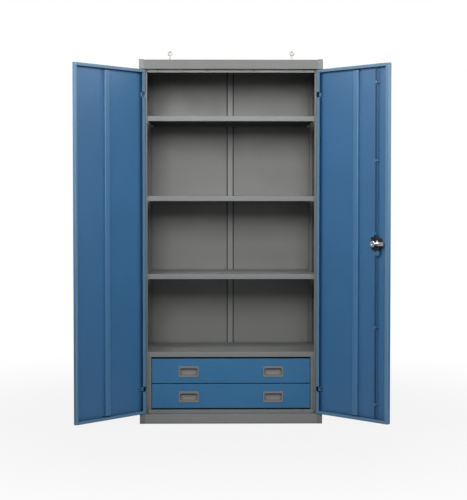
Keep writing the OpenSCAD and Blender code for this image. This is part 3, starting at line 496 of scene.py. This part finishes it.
# %% [markdown]
# ## Places on the open doors
# The doors stand open at rest, so whatever sits on them has turned with them. It is easier to think
# in the door's own measures: across from its hinged edge, in from its outer face, and up. One helper
# turns those round the hinge pin into a place in the room, and a second gives the way that the inside
# faces. The measures are the engineering model's, in millimetres.

# %% Find places on the open doors
DOORS = {"left": (133, 1), "right": (134, -1)}
PIN_U, PIN_Y = 12.5, 8
PIN_IN, HALF_WIDTH = 14, 477.5
FRONT, BACK = -0.25, 0.25
DOOR_FOOT, DOOR_TOP = 52, 1848
LATCH_U, LATCH_Z = 390, 950


def on_door(side, across, depth, height):
    """A place on an open door, in metres, from three measures in millimetres."""
    angle, sign = radians(-DOORS[side][0]), DOORS[side][1]
    x, y = across - PIN_U, depth - PIN_Y
    return Vector((sign * (x * cos(angle) - y * sin(angle) + PIN_IN - HALF_WIDTH) * MM,
                   (x * sin(angle) + y * cos(angle) + PIN_Y) * MM + FRONT, height * MM))


def inward(side):
    """The direction that the inside of an open door faces."""
    return (on_door(side, 100, 10, 500) - on_door(side, 100, 0, 500)).normalized()


print("the latch is at", [round(value, 3) for value in on_door("right", LATCH_U, 0, LATCH_Z)])

# %% [markdown]
# ## Powder coats and plastics
# Paint and moulded plastic share one recipe: a skin with its texture, paler along the edges, partly
# as a worn coat and partly as painted highlight, dusty on top, and darker in the gaps as painted shade.
# What one piece has besides, such as the painted highlight on the door lips, comes in as a function
# that changes the colour before the edges are laid over it.

# %% One recipe for a skin
DUST_COLOUR = linear(188, 186, 180)
# Painted shade: the share of its colour that a skin keeps far into a gap.
SHADE_SHARE = 0.2


def skin(parts, colour, worn_lit_edge, roughness, texture, amounts, reach=SHADE_REACH, marks=None):
    """Wires the colour, roughness and bump of a painted or moulded surface.

    parts are what new_material gives, the next colour is that of the edges, partly a worn skin and
    partly painted highlight, texture is its size, depth and mottle, and amounts says how much edge,
    dust and painted shade in the gaps it has.
    """
    material, tree, shader = parts
    size, depth, mottle = texture
    edge, dust, painted_shade = amounts
    layer = place_group(tree, POWDER_COAT, Colour=colour, Mottle=mottle, Roughness=roughness,
                        Peel_Size=size)
    edges = place_group(tree, THIN_EDGES, Amount=edge)
    gaps = place_group(tree, CREVICES, Amount=painted_shade, Reach=reach)
    dusty = place_group(tree, DUST, Amount=dust)
    body = layer.outputs["Colour"]
    if marks:
        body = marks(tree, body)
    # The edges: partly a worn coat, partly painted highlight for the light that the folds catch.
    body = blend(tree, edges.outputs["Mask"], body, worn_lit_edge)
    body = blend(tree, dusty.outputs["Mask"], body, DUST_COLOUR)
    # Painted shade: far into gaps and folds the colour darkens towards this share of itself.
    darker = tuple(part * SHADE_SHARE for part in colour[:3]) + (1,)
    tree.links.new(blend(tree, gaps.outputs["Mask"], body, darker), shader.inputs["Base Color"])
    tree.links.new(layer.outputs["Roughness"], shader.inputs["Roughness"])
    bump(tree, shader, layer.outputs["Peel"], depth)
    return material


print(f"the deepest gaps keep {SHADE_SHARE} of the colour")

# %% [markdown]
# The greys of the body differ a little from sheet to sheet, as batches of paint do: the back is paler,
# the rib is paler still as painted highlight of the light that it catches, and the roof is dusty and
# matt. The doors and drawers are glossier, so their coat is stronger, and the finishes of each door
# paint its lips and the crowns of its stiffeners paler, as painted highlight.

# %% Mix the powder coats
COAT_HAZE = 0.3
COAT_PEEL, DOOR_PEEL = 420.0, 330.0
PEEL_DEPTH, COAT_MOTTLE = 0.00012, 0.05
BODY_COAT, DOOR_COAT = 0.12, 0.6
FINISH = {}


def powder_coat(name, colour, worn_lit_edge, roughness, peel=COAT_PEEL, dust=0.16, edge=0.5, coat=BODY_COAT,
                painted_shade=0.6, marks=None):
    """Adds a powder coat of one colour; the next colour is that of its edges, partly worn and partly
    painted highlight.
    """
    parts = new_material(name, Specular_IOR_Level=0.5, Coat_Weight=coat, Coat_Roughness=COAT_HAZE)
    texture = (peel, PEEL_DEPTH, COAT_MOTTLE)
    FINISH[name] = skin(parts, colour, worn_lit_edge, roughness, texture, (edge, dust, painted_shade), marks=marks)


def highlit_raised(side, pale, start, full):
    """Paints paler, as painted highlight, what stands out on a door's inside, between two depths in
    millimetres.
    """
    facing = inward(side)
    plane = facing.dot(on_door(side, 0, 0, 0))

    def marks(tree, body):
        lips = place_group(tree, LIPS, Facing=facing, Plane=plane, Start=start, Full=full)
        return blend(tree, lips.outputs["Mask"], body, pale)

    return marks


# The lip and crown blues are painted highlight, paler than the door's own blue.
BLUE, BLUE_EDGE = linear(54, 107, 152), linear(126, 160, 192)
BLUE_LIP_HIGHLIGHT, BLUE_CROWN_HIGHLIGHT = linear(90, 130, 160), linear(70, 119, 160)
LIP_DEPTHS, CROWN_DEPTHS = (18.0, 20.3), (12.5, 15.6)

powder_coat("body_grey", linear(113, 114, 113), linear(146, 146, 144), 0.5)
powder_coat("trim_grey", linear(118, 120, 120), linear(150, 150, 148), 0.5)
powder_coat("back_grey", linear(134, 134, 131), linear(160, 160, 158), 0.5)
powder_coat("roof_grey", linear(120, 121, 119), linear(150, 150, 148), 0.74, dust=0.4, coat=0.0)
powder_coat("plinth_grey", linear(124, 124, 123), linear(154, 154, 152), 0.5)
# Painted shadow for the feet of the rib.
powder_coat("rib_foot_shadow_grey", linear(66, 66, 65), linear(90, 90, 88), 0.6, coat=0.0)
# The rib is painted paler than the back, as painted highlight of the light that it catches.
powder_coat("rib_highlight_grey", linear(143, 144, 144), linear(160, 160, 158), 0.45)
powder_coat("hinge_grey", linear(62, 96, 128), linear(84, 118, 148), 0.45, dust=0.0, coat=0.3, painted_shade=0.1)
powder_coat("ear_blue", linear(50, 98, 140), linear(64, 112, 152), 0.4, edge=0.2, coat=0.3, painted_shade=0.2)
# The rods are painted darker than the door, as painted shade for the shadow along them.
powder_coat("rod_shade_blue", linear(14, 60, 102), linear(28, 76, 118), 0.5, dust=0.0, edge=0.25, coat=0.0)
powder_coat("door_blue", BLUE, BLUE_EDGE, 0.4, DOOR_PEEL, coat=DOOR_COAT)
powder_coat("drawer_blue", linear(37, 103, 147), linear(82, 132, 174), 0.38, DOOR_PEEL, coat=0.3)
for side in DOORS:
    powder_coat(f"door_{side}_blue", BLUE, BLUE_EDGE, 0.4, DOOR_PEEL, coat=DOOR_COAT,
                marks=highlit_raised(side, BLUE_LIP_HIGHLIGHT, *LIP_DEPTHS))
    powder_coat(f"stiffener_{side}_blue", BLUE, BLUE_EDGE, 0.36, DOOR_PEEL, coat=DOOR_COAT,
                marks=highlit_raised(side, BLUE_CROWN_HIGHLIGHT, *CROWN_DEPTHS))
print("powder coats:", ", ".join(FINISH))

# %% [markdown]
# The pulls, the latch housing and the handle are moulded plastic, which has a fine stipple from the
# mould, and the bumpers are dull rubber. The inside of each pull is painted paler as painted light, and
# its top under the rim is darkened as painted shadow. Two depths from planes pick out that band.

# %% Mix the plastics
STIPPLE_MOTTLE, MOULDED_EDGE, MOULDED_DUST = 0.08, 0.4, 0.12
# Painted light inside the cups and painted shadow at their tops.
CUP_PAINTED_LIGHT, CUP_PAINTED_SHADOW = linear(138, 138, 135), linear(22, 20, 17)
CUP_DEPTHS, SHADOW_RISE, SHADOW_DROP = (3.0, 6.0), (0.0, 12.0), 26 * MM
# Reach of the painted shade in the pulls' recesses.
PULL_REACH = 14 * MM


def moulded(name, colour, worn, roughness, stipple, depth, painted_shade=0.5, **more):
    """Adds a moulded plastic or rubber; stipple and depth are the size and depth of its texture."""
    parts = new_material(name, Specular_IOR_Level=0.45)
    texture = (stipple, depth, STIPPLE_MOTTLE)
    amounts = (MOULDED_EDGE, MOULDED_DUST, painted_shade)
    # The worn colour goes to the edges: partly wear, partly painted highlight.
    FINISH[name] = skin(parts, colour, worn, roughness, texture, amounts, **more)


def lit_and_shaded_cups(level):
    """Paints light inside one drawer's pulls, with painted shadow at the top of each cup."""
    corners = [Vector(corner) for corner in NODES[f"drawer_{level}_pulls"].bound_box]
    face, shadow_from = min(c.y for c in corners), max(c.z for c in corners) - SHADOW_DROP

    def marks(tree, body):
        start, full = CUP_DEPTHS
        cup = place_group(tree, LIPS, Facing=(0, 1, 0), Plane=face, Start=start, Full=full)
        low, high = SHADOW_RISE
        top = place_group(tree, LIPS, Facing=(0, 0, 1), Plane=shadow_from, Start=low, Full=high)
        # Painted shadow at the top of each cup, under its rim.
        cup_shadow = maths(tree, "MULTIPLY", cup.outputs["Mask"], top.outputs["Mask"])
        body = blend(tree, cup.outputs["Mask"], body, CUP_PAINTED_LIGHT)
        return blend(tree, cup_shadow, body, CUP_PAINTED_SHADOW)

    return marks


for level in ("upper", "lower"):
    moulded(f"pull_{level}", linear(114, 117, 118), linear(136, 139, 140), 0.5, 900, 0.00008, painted_shade=1.0,
            reach=PULL_REACH, marks=lit_and_shaded_cups(level))
moulded("latch_black", linear(26, 27, 30), linear(64, 66, 70), 0.42, 700, 0.0001)
moulded("rubber", linear(112, 112, 110), linear(126, 126, 124), 0.75, 500, 0.00015)
print("paints and plastics:", len(FINISH))

# %% [markdown]
# Zinc plate shows the drawn lines of the steel under it. The lock's chrome is polished, with hairlines
# round its barrel, and the eyes have the dull zinc of a forging. All three are bare metal, so there is
# no second coat: the grain moves between two tints and two levels of polish.

# %% Mix the metals
GRAIN_BUMP = 0.4


def metal(name, colour, dull, roughness, stretch, scale, depth):
    """Adds a bare metal whose tint and roughness follow its grain."""
    material, tree, shader = new_material(name, Metallic=1.0)
    grain = place_group(tree, GRAIN, Scale=scale, Stretch=stretch)
    tree.links.new(blend(tree, grain.outputs["Mask"], colour, dull), shader.inputs["Base Color"])
    low, high = roughness
    tree.links.new(spread(tree, grain.outputs["Mask"], 0, 1, low, high), shader.inputs["Roughness"])
    bump(tree, shader, grain.outputs["Height"], depth, GRAIN_BUMP)
    FINISH[name] = material


metal("zinc", linear(206, 208, 208), linear(178, 180, 182), (0.28, 0.42), (8, 8, 1), 700, 0.00004)
metal("lock_chrome", linear(204, 205, 204), linear(184, 186, 186), (0.14, 0.26), (1, 1, 6), 600, 0.00002)
metal("forged_zinc", linear(172, 170, 164), linear(140, 138, 132), (0.4, 0.55), (1, 1, 1), 300, 0.0001)
print("finishes:", ", ".join(FINISH))

# %% [markdown]
# ## Rounding the folds
# A press brake can't fold a sharp corner: the outside of each fold is a quarter round of about the
# sheet's own thickness, and it is those rounds that catch the light. The engineering model has sharp
# corners, so each piece is copied and its edges are bevelled. A fold lies between two wide faces and
# gets the full radius. A cut edge has the narrow face of the sheet on one side and is only broken. The
# edges' bevel weights say which is which, and one Bevel modifier reads them.

# %% Tell folds from cut edges
CUT_RADIUS = 0.3 * MM
WIDE_FACE = 4.0 * MM
SHARP = radians(35)
FLAT = radians(0.5)
FOLD_STEPS = 3


def reach_from(face, edge):
    """How far a face reaches away from one of its edges."""
    start = edge.verts[0].co
    along = (edge.verts[1].co - start).normalized()
    offsets = [v.co - start for v in face.verts]
    return max((o - along * o.dot(along)).length for o in offsets)


def weigh_edges(mesh, fold):
    """Bevel weights for the sharp edges, as shares of the fold radius."""
    layer = mesh.edges.layers.float.new("bevel_weight_edge")
    folds = 0
    for edge in mesh.edges:
        if len(edge.link_faces) != 2 or edge.calc_face_angle(0) < SHARP:
            continue
        is_fold = all(reach_from(face, edge) > WIDE_FACE for face in edge.link_faces)
        edge[layer] = (fold if is_fold and edge.is_convex else CUT_RADIUS) / fold
        folds += is_fold
    return folds


def clean_copy(node):
    """The node's mesh with its triangles joined back into the flat faces that they came from."""
    mesh = bmesh.new()
    mesh.from_mesh(NODES[node].data)
    bmesh.ops.remove_doubles(mesh, verts=mesh.verts, dist=1e-6)
    bmesh.ops.dissolve_limit(mesh, angle_limit=FLAT, verts=mesh.verts, edges=mesh.edges)
    return mesh


print("faces wider than", WIDE_FACE / MM, "mm on both sides make a fold")

# %% [markdown]
# Each new piece takes its finish from the slot of the node that it stands for, unless it has a batch of
# its own. It rides on the same body, so it moves with the same joint.

# %% Make pieces that stand for nodes
SLOT_OF = {row["node"]: row["material_slot"] for row in frame["record"]["subparts"]}
BODIES = frame["record"]["behaviour"]["bodies"]
BODY_OF = {name: body for body, names in BODIES.items() for name in names}
OWN_FINISH = {
    "back_panel_left": "back_grey", "back_panel_right": "back_grey", "header_stop": "back_grey",
    "back_rib": "rib_highlight_grey", "roof_panel": "roof_grey", "base_frame": "plinth_grey",
    "drawer_upper_pulls": "pull_upper", "drawer_lower_pulls": "pull_lower",
    "rod_upper": "rod_shade_blue", "rod_lower": "rod_shade_blue",
}
for side in DOORS:
    OWN_FINISH[f"door_{side}_panel"] = f"door_{side}_blue"
    OWN_FINISH[f"door_{side}_stiffener"] = f"stiffener_{side}_blue"
    OWN_FINISH[f"door_{side}_hinge_ears"] = "ear_blue"
    OWN_FINISH[f"hinge_arms_{side}"] = "hinge_grey"


def finish_of(node):
    """The finish of a node: that of its slot, unless a batch of its own is named for it."""
    return OWN_FINISH.get(node, SLOT_OF[node])


def add_piece(name, mesh, body, slot, finish=None):
    """Makes an object of a bmesh, in its finish, riding on its body."""
    data = bpy.data.meshes.new(name)
    mesh.to_mesh(data)
    mesh.free()
    data.materials.append(FINISH[finish or slot])
    piece = bpy.data.objects.new(name, data)
    bpy.context.scene.collection.objects.link(piece)
    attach(piece, body)
    return piece


def rounded(node, fold):
    """Stands for a node, with its folds rounded to a radius in metres and its cut edges broken."""
    mesh = clean_copy(node)
    folds = weigh_edges(mesh, fold)
    for face in mesh.faces:
        face.smooth = True
    piece = add_piece(f"{node}_formed", mesh, BODY_OF[node], SLOT_OF[node], finish_of(node))
    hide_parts(node)
    bevel = piece.modifiers.new("round the folds", "BEVEL")
    bevel.limit_method = "WEIGHT"
    bevel.width = fold
    bevel.segments = FOLD_STEPS
    bevel.use_clamp_overlap = False
    bevel.loop_slide = True
    piece.modifiers.new("even shading", "WEIGHTED_NORMAL").keep_sharp = True
    return folds


print(len(OWN_FINISH), "nodes have a batch of their own")

# %% [markdown]
# The thicker the sheet and the larger the die, the rounder the fold: the doors and the drawer fronts
# are folded widest, the shelves less, and the small stampings are hardly rounded at all.

# %% Round the folds of every node
FOLDED = [
    (2.4, "door_left_panel door_right_panel"),
    (3.5, "door_left_stiffener door_right_stiffener"),
    (1.8, "shelf_lower shelf_middle shelf_upper drawer_deck"),
    (2.0, "drawer_upper_front drawer_lower_front"),
    (1.0, "drawer_upper_box drawer_lower_box"),
    (1.8, "roof_panel base_frame"),
    (1.6, "side_panel_left side_panel_right"),
    (1.2, "header_stop floor_stop bay_side_left bay_side_right back_rib latch_housing"),
    (1.4, "upright_front_left upright_front_right upright_rear_left upright_rear_right"),
    (1.4, "drawer_upper_pulls drawer_lower_pulls"),
    (1.0, "handle_rose"),
    (2.0, "latch_handle"),
    (0.6, "latch_rotor lock_cylinder lock_cam rod_upper rod_lower door_bumpers"),
    (0.8, "rod_guides hinge_arms_left hinge_arms_right shelf_clips"),
    (0.8, "door_left_hinge_ears door_right_hinge_ears"),
    (0.5, "eye_nuts runner_outer_members runner_middle_upper runner_middle_lower"),
    (0.5, "drawer_upper_runners drawer_lower_runners"),
    (0.6, "back_panel_left back_panel_right floor_panel"),
]
for radius, nodes in FOLDED:
    for node in nodes.split():
        print(f"{node}: {rounded(node, radius * MM)} folds of {radius} mm")

# %% [markdown]
# ## Rods and rib
# The latch rods are painted a darker blue than the door, as painted shade for the shadow along them,
# and their plates are blackened where they slide over the rotor. The mesh is cut at the borders and the
# faces take one of three finishes, which keeps the borders sharp. A mask in the shader would do as well,
# but the faces are already flat and few.

# %% Finish the rods in three parts
DISC, PLATE = 35.5 * MM, 57.2 * MM


def finish_rod(node):
    """Black over the rotor's disc, door blue to the end of the plate, and darker on the round rod as
    painted shade.
    """
    middle = LATCH_Z * MM
    piece = bpy.data.objects[f"{node}_formed"]
    mesh = bmesh.new()
    mesh.from_mesh(piece.data)
    for height in (middle - PLATE, middle - DISC, middle + DISC, middle + PLATE):
        every = mesh.verts[:] + mesh.edges[:] + mesh.faces[:]
        bmesh.ops.bisect_plane(mesh, geom=every, plane_co=(0, 0, height), plane_no=(0, 0, 1))
    for face in mesh.faces:
        away = abs(face.calc_center_median().z - middle)
        face.material_index = 1 if away < DISC else 2 if away < PLATE else 0
    mesh.to_mesh(piece.data)
    mesh.free()
    for finish in ("latch_black", "door_blue"):
        piece.data.materials.append(FINISH[finish])
    return len(piece.data.polygons)


for node in ("rod_upper", "rod_lower"):
    print(f"{node}: {finish_rod(node)} faces in three parts")

# %% [markdown]
# The rib covers the joint of the two back sheets. Its crown is clean, and its two feet are given a
# dark finish as painted shadow; in the photograph they show as a dark line on either side.

# %% Paint shadow beside the rib
RIB_FOOT = 6 * MM
RIB_SLACK = 0.2 * MM


def shade_rib_feet():
    """Gives the feet of the rib, beside its crown, a darker finish that is painted shadow."""
    data = bpy.data.objects["back_rib_formed"].data
    data.materials.append(FINISH["rib_foot_shadow_grey"])
    crown = max(abs(v.co.x) for v in data.vertices) - RIB_FOOT
    for face in data.polygons:
        face.material_index = int(abs(face.center.x) > crown - RIB_SLACK)
    return sum(face.material_index for face in data.polygons)


print(shade_rib_feet(), "faces beside the rib are darker")

# %% [markdown]
# The nodes of the engineering model stay as they are under the formed pieces. They get the same
# finishes by their material slots, so nothing is left in a plain colour if one is ever shown.

# %% Give the nodes their finish
for node, piece in NODES.items():
    piece.data.materials.clear()
    piece.data.materials.append(FINISH[finish_of(node)])
print(f"{len(NODES)} nodes have a finish")

# %% [markdown]
# ## Turned and forged hardware
# Screws, clips and eyes are turned or forged, so each starts as a profile spun round an axis. A ring of
# the profile can take another outline than a circle: a hexagon for a key or a plus for a cross recess.
# Blender's Screw modifier could spin a profile, but it can't change the outline on the way.

# %% Spin a profile
ROUND = 36
RECESS_ARM = 0.3


def hexagon(angle):
    """How far a hexagon of radius 1 across its corners reaches at an angle."""
    return cos(pi / 6) / cos((angle % (pi / 3)) - pi / 6)


def cross(angle):
    """The same for the plus of a cross recess, whose arms are a share of its reach wide."""
    one, other = abs(cos(angle)), abs(sin(angle))
    long, short = max(one, other), min(one, other)
    return min(1 / long, RECESS_ARM / short) if short > RECESS_ARM * long else 1 / long


def spin(profile, around=ROUND):
    """A closed skin round +Z from (radius, height) or (radius, height, outline) rows, in millimetres."""
    mesh = bmesh.new()
    rings = []
    for row in profile:
        radius, height = row[0] * MM, row[1] * MM
        outline = row[2] if len(row) > 2 else (lambda angle: 1)
        if radius == 0:
            rings.append([mesh.verts.new((0, 0, height))])
            continue
        ring = []
        for step in range(around):
            angle = tau * step / around
            reach = radius * outline(angle)
            ring.append(mesh.verts.new((reach * cos(angle), reach * sin(angle), height)))
        rings.append(ring)
    for low, high in zip(rings, rings[1:]):
        for step in range(around):
            after = (step + 1) % around
            corners = [low[step % len(low)], low[after % len(low)],
                       high[after % len(high)], high[step % len(high)]]
            mesh.faces.new(list(dict.fromkeys(corners)))
    for face in mesh.faces:
        face.smooth = True
    return mesh


def arc(centre, radius, start, end, steps=6):
    """Rows of a profile along an arc, with angles in degrees from the outward direction."""
    turns = [radians(start + (end - start) * step / steps) for step in range(steps + 1)]
    return [(centre[0] + radius * cos(t), centre[1] + radius * sin(t)) for t in turns]


print(f"a hexagon's flats lie at {hexagon(pi / 6):.3f} of its corners")

# %% [markdown]
# Most of the hardware comes in rows, so one mesh is copied to a list of places and the row is one
# piece. That keeps the list of pieces short, and a whole row rides on one body.

# %% Set copies at places
def stand(place, axis=(0, 0, 1), turn=0.0):
    """Where a turned piece goes: its foot at a place in metres and its axis along a direction."""
    facing = Vector(axis).to_track_quat("Z", "Y").to_matrix().to_4x4()
    return Matrix.Translation(place) @ facing @ Matrix.Rotation(radians(turn), 4, "Z")


def join(whole, part):
    """Adds a part to the whole, and frees the part."""
    data = bpy.data.meshes.new("part")
    part.to_mesh(data)
    part.free()
    whole.from_mesh(data)
    bpy.data.meshes.remove(data)


def set_copies(name, mesh, places, body, slot, finish=None):
    """One object that holds a copy of a small mesh at each place."""
    whole = bmesh.new()
    for place in places:
        copy = mesh.copy()
        copy.transform(place)
        join(whole, copy)
    mesh.free()
    return add_piece(name, whole, body, slot, finish)


print("copies can be set")

# %% [markdown]
# ### Lifting eyes
# A lifting eye is drop forged: a ring of round bar runs into a neck with a fillet, and a collar spreads
# the load on the roof. The ring is a torus and the neck is spun, and they overlap where the forging
# would flow together.

# %% Forge the lifting eyes
ROOF_TOP, EYE_TOP = 1898.2, 1946.2
EYE_RING, EYE_BAR = 12.4, 3.4
EYE_X, EYE_Y = 318, 205
RING_STEPS, BAR_STEPS = 48, 14


def bent_ring(radius, bar, height):
    """A torus standing up, square to the front, with its middle at a height."""
    mesh = bmesh.new()
    rings = []
    for step in range(RING_STEPS):
        turn = tau * step / RING_STEPS
        ring = []
        for part in range(BAR_STEPS):
            lean = tau * part / BAR_STEPS
            reach = radius + bar * cos(lean)
            place = Vector((reach * cos(turn), bar * sin(lean), height + reach * sin(turn)))
            ring.append(mesh.verts.new(place * MM))
        rings.append(ring)
    for step in range(RING_STEPS):
        here, after = rings[step], rings[(step + 1) % RING_STEPS]
        for part in range(BAR_STEPS):
            nxt = (part + 1) % BAR_STEPS
            mesh.faces.new((here[part], here[nxt], after[nxt], after[part])).smooth = True
    return mesh


def forged_eye():
    """The collar with its neck, the ring, and the shank that goes through the roof."""
    eye = spin([(0, 0), (10, 0), (10, 3.2), *arc((9.2, 3.2), 0.8, 0, 90, 4), (7.2, 4),
                *arc((7.2, 6.7), 2.7, 270, 180), (4.3, 22), (4.6, 25), (0, 26.5)])
    join(eye, bent_ring(EYE_RING - EYE_BAR, EYE_BAR, EYE_TOP - ROOF_TOP - EYE_RING))
    join(eye, spin([(0, -20), (3.4, -20), (4, -19.4), (4, 0.5), (0, 0.5)]))
    return eye


EYE_PLACES = [stand((x * MM, y * MM, ROOF_TOP * MM)) for x in (-EYE_X, EYE_X) for y in (-EYE_Y, EYE_Y)]
eyes = set_copies("lifting_eyes_forged", forged_eye(), EYE_PLACES, "cabinet", "zinc", "forged_zinc")
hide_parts("lifting_eyes")
print(f"{len(EYE_PLACES)} eyes with {len(eyes.data.polygons)} faces")

# %% [markdown]
# ### Screws
# The back is two sheets held by pan head screws with a cross recess, down both sides and along the
# joint over the rib. The rod guides and the rose of the handle have the same screws. The turn of each
# differs, as no one lines up the slots of screws that don't show.

# %% Drive the screws
BACK_EDGE, JOINT_SIDE = 467.5, 17
EDGE_HEIGHTS, JOINT_HEIGHTS = range(70, 1850, 222), range(110, 1850, 248)
SIDE_ROW = [(x, z) for x in (-BACK_EDGE, BACK_EDGE) for z in EDGE_HEIGHTS]
JOINT_ROW = [(x, z) for x in (-JOINT_SIDE, JOINT_SIDE) for z in JOINT_HEIGHTS]
GUIDE_END, GUIDE_INNER = 90, 480
GUIDE_SCREW, ROSE_SCREW = 10.4, 24
GUIDE_FOOT, ROSE_FACE = 5.5, -4


def pan_head(radius=4.0, height=2.4):
    """A pan head with a cross recess; its foot sinks a little into what it holds."""
    return spin([(0, -0.4), (radius, -0.4), (radius, height * 0.35),
                 *arc((radius * 0.62, height * 0.35), radius * 0.38, 0, 62, 5),
                 (radius * 0.52, height, cross), (radius * 0.5, height - 0.1, cross),
                 (radius * 0.34, height * 0.3, cross), (0, height * 0.1)])


back_places = [stand((x * MM, BACK, z * MM), (0, 1, 0), 25 * (n % 4))
               for n, (x, z) in enumerate(SIDE_ROW + JOINT_ROW)]
set_copies("back_screws", pan_head(), back_places, "cabinet", "zinc")

GUIDE_LEVELS = [DOOR_FOOT + GUIDE_END, DOOR_FOOT + GUIDE_INNER,
                DOOR_TOP - GUIDE_INNER, DOOR_TOP - GUIDE_END]
guide_places = []
for z in GUIDE_LEVELS:
    for s in (-1, 1):
        foot = on_door("right", LATCH_U + s * GUIDE_SCREW, GUIDE_FOOT, z)
        guide_places.append(stand(foot, inward("right"), 30 * s))
set_copies("guide_screws", pan_head(2.6, 1.6), guide_places, "door_right", "zinc")

rose_places = []
for s in (-1, 1):
    foot = on_door("right", LATCH_U, ROSE_FACE, LATCH_Z + s * ROSE_SCREW)
    rose_places.append(stand(foot, -inward("right"), 20 * s))
set_copies("rose_screws", pan_head(3.4, 1.6), rose_places, "door_right", "latch_black")
print(f"{len(back_places)} back, {len(guide_places)} guide and {len(rose_places)} rose screws")

# %% [markdown]
# ### Spot welds
# The stiffeners and the uprights are spot welded to their sheets. Each weld leaves a shallow dish with
# a raised rim, and the paint goes over it, so it is a low turned form in the sheet's own finish.

# %% Weld the sheets
STIFFENER_U, WELD_OFFSET, WELD_DEPTH = 257, 24.8, 3.0
UPRIGHT_ROWS = (-187.5, 231, -222)
DOOR_WELD_HEIGHTS, BODY_WELD_HEIGHTS = range(110, 1800, 130), range(150, 1800, 165)


def spot_weld():
    """A shallow dish with a raised rim."""
    return spin([(3.6, -0.3), (3.4, 0.1), (3.0, 0.22), (2.5, 0.18), (1.8, 0.06), (0, 0.03)], 20)


for side in DOORS:
    welds = [stand(on_door(side, STIFFENER_U + s * WELD_OFFSET, WELD_DEPTH, z), inward(side))
             for s in (-1, 1) for z in DOOR_WELD_HEIGHTS]
    set_copies(f"door_{side}_welds", spot_weld(), welds, f"door_{side}", "door_blue")
body_welds = [stand((s * HALF_WIDTH * MM, y * MM, z * MM), (s, 0, 0))
              for s in (-1, 1) for y in UPRIGHT_ROWS for z in BODY_WELD_HEIGHTS]
set_copies("body_welds", spot_weld(), body_welds, "cabinet", "body_grey")
print(f"{len(body_welds)} welds on the sides")

# %% [markdown]
# ### The latch
# An E-clip keeps each rod plate on its crank pin, and a small socket screw in the end of the lock's
# barrel holds the cam. The clips turn with the handle and the screw with the lock, so each rides on
# its own body.

# %% Fit the latch's small parts
CRANK_REACH = 18
CRANK = CRANK_REACH * cos(pi / 4)
CLIP_DEPTH, BARREL_END = 21.3, 44.0


def on_latch(depth, across=0.0, up=0.0, turn=0.0):
    """A place about the latch's axis, facing into the cabinet."""
    return stand(on_door("right", LATCH_U + across, depth, LATCH_Z + up), inward("right"), turn)


clips = [on_latch(CLIP_DEPTH, s * CRANK, s * CRANK) for s in (-1, 1)]
clip = spin([(0, 0), (5.2, 0), (5.2, 0.7), (3.2, 0.7), (3.0, 1.1), (0, 1.2)])
set_copies("crank_clips", clip, clips, "handle", "zinc")
end_screw = spin([(0, -2), (6.4, -2), (6.4, -1.1), *arc((5.4, -1.1), 1.0, 0, 80, 4),
                  (3.6, -0.1, hexagon), (3.5, -0.3, hexagon), (3.4, -1.7, hexagon), (0, -1.8)])
set_copies("barrel_screw", end_screw, [on_latch(BARREL_END, turn=12)], "lock", "lock_chrome")
print("the crank pins stand", round(CRANK, 2), "mm off the axis")
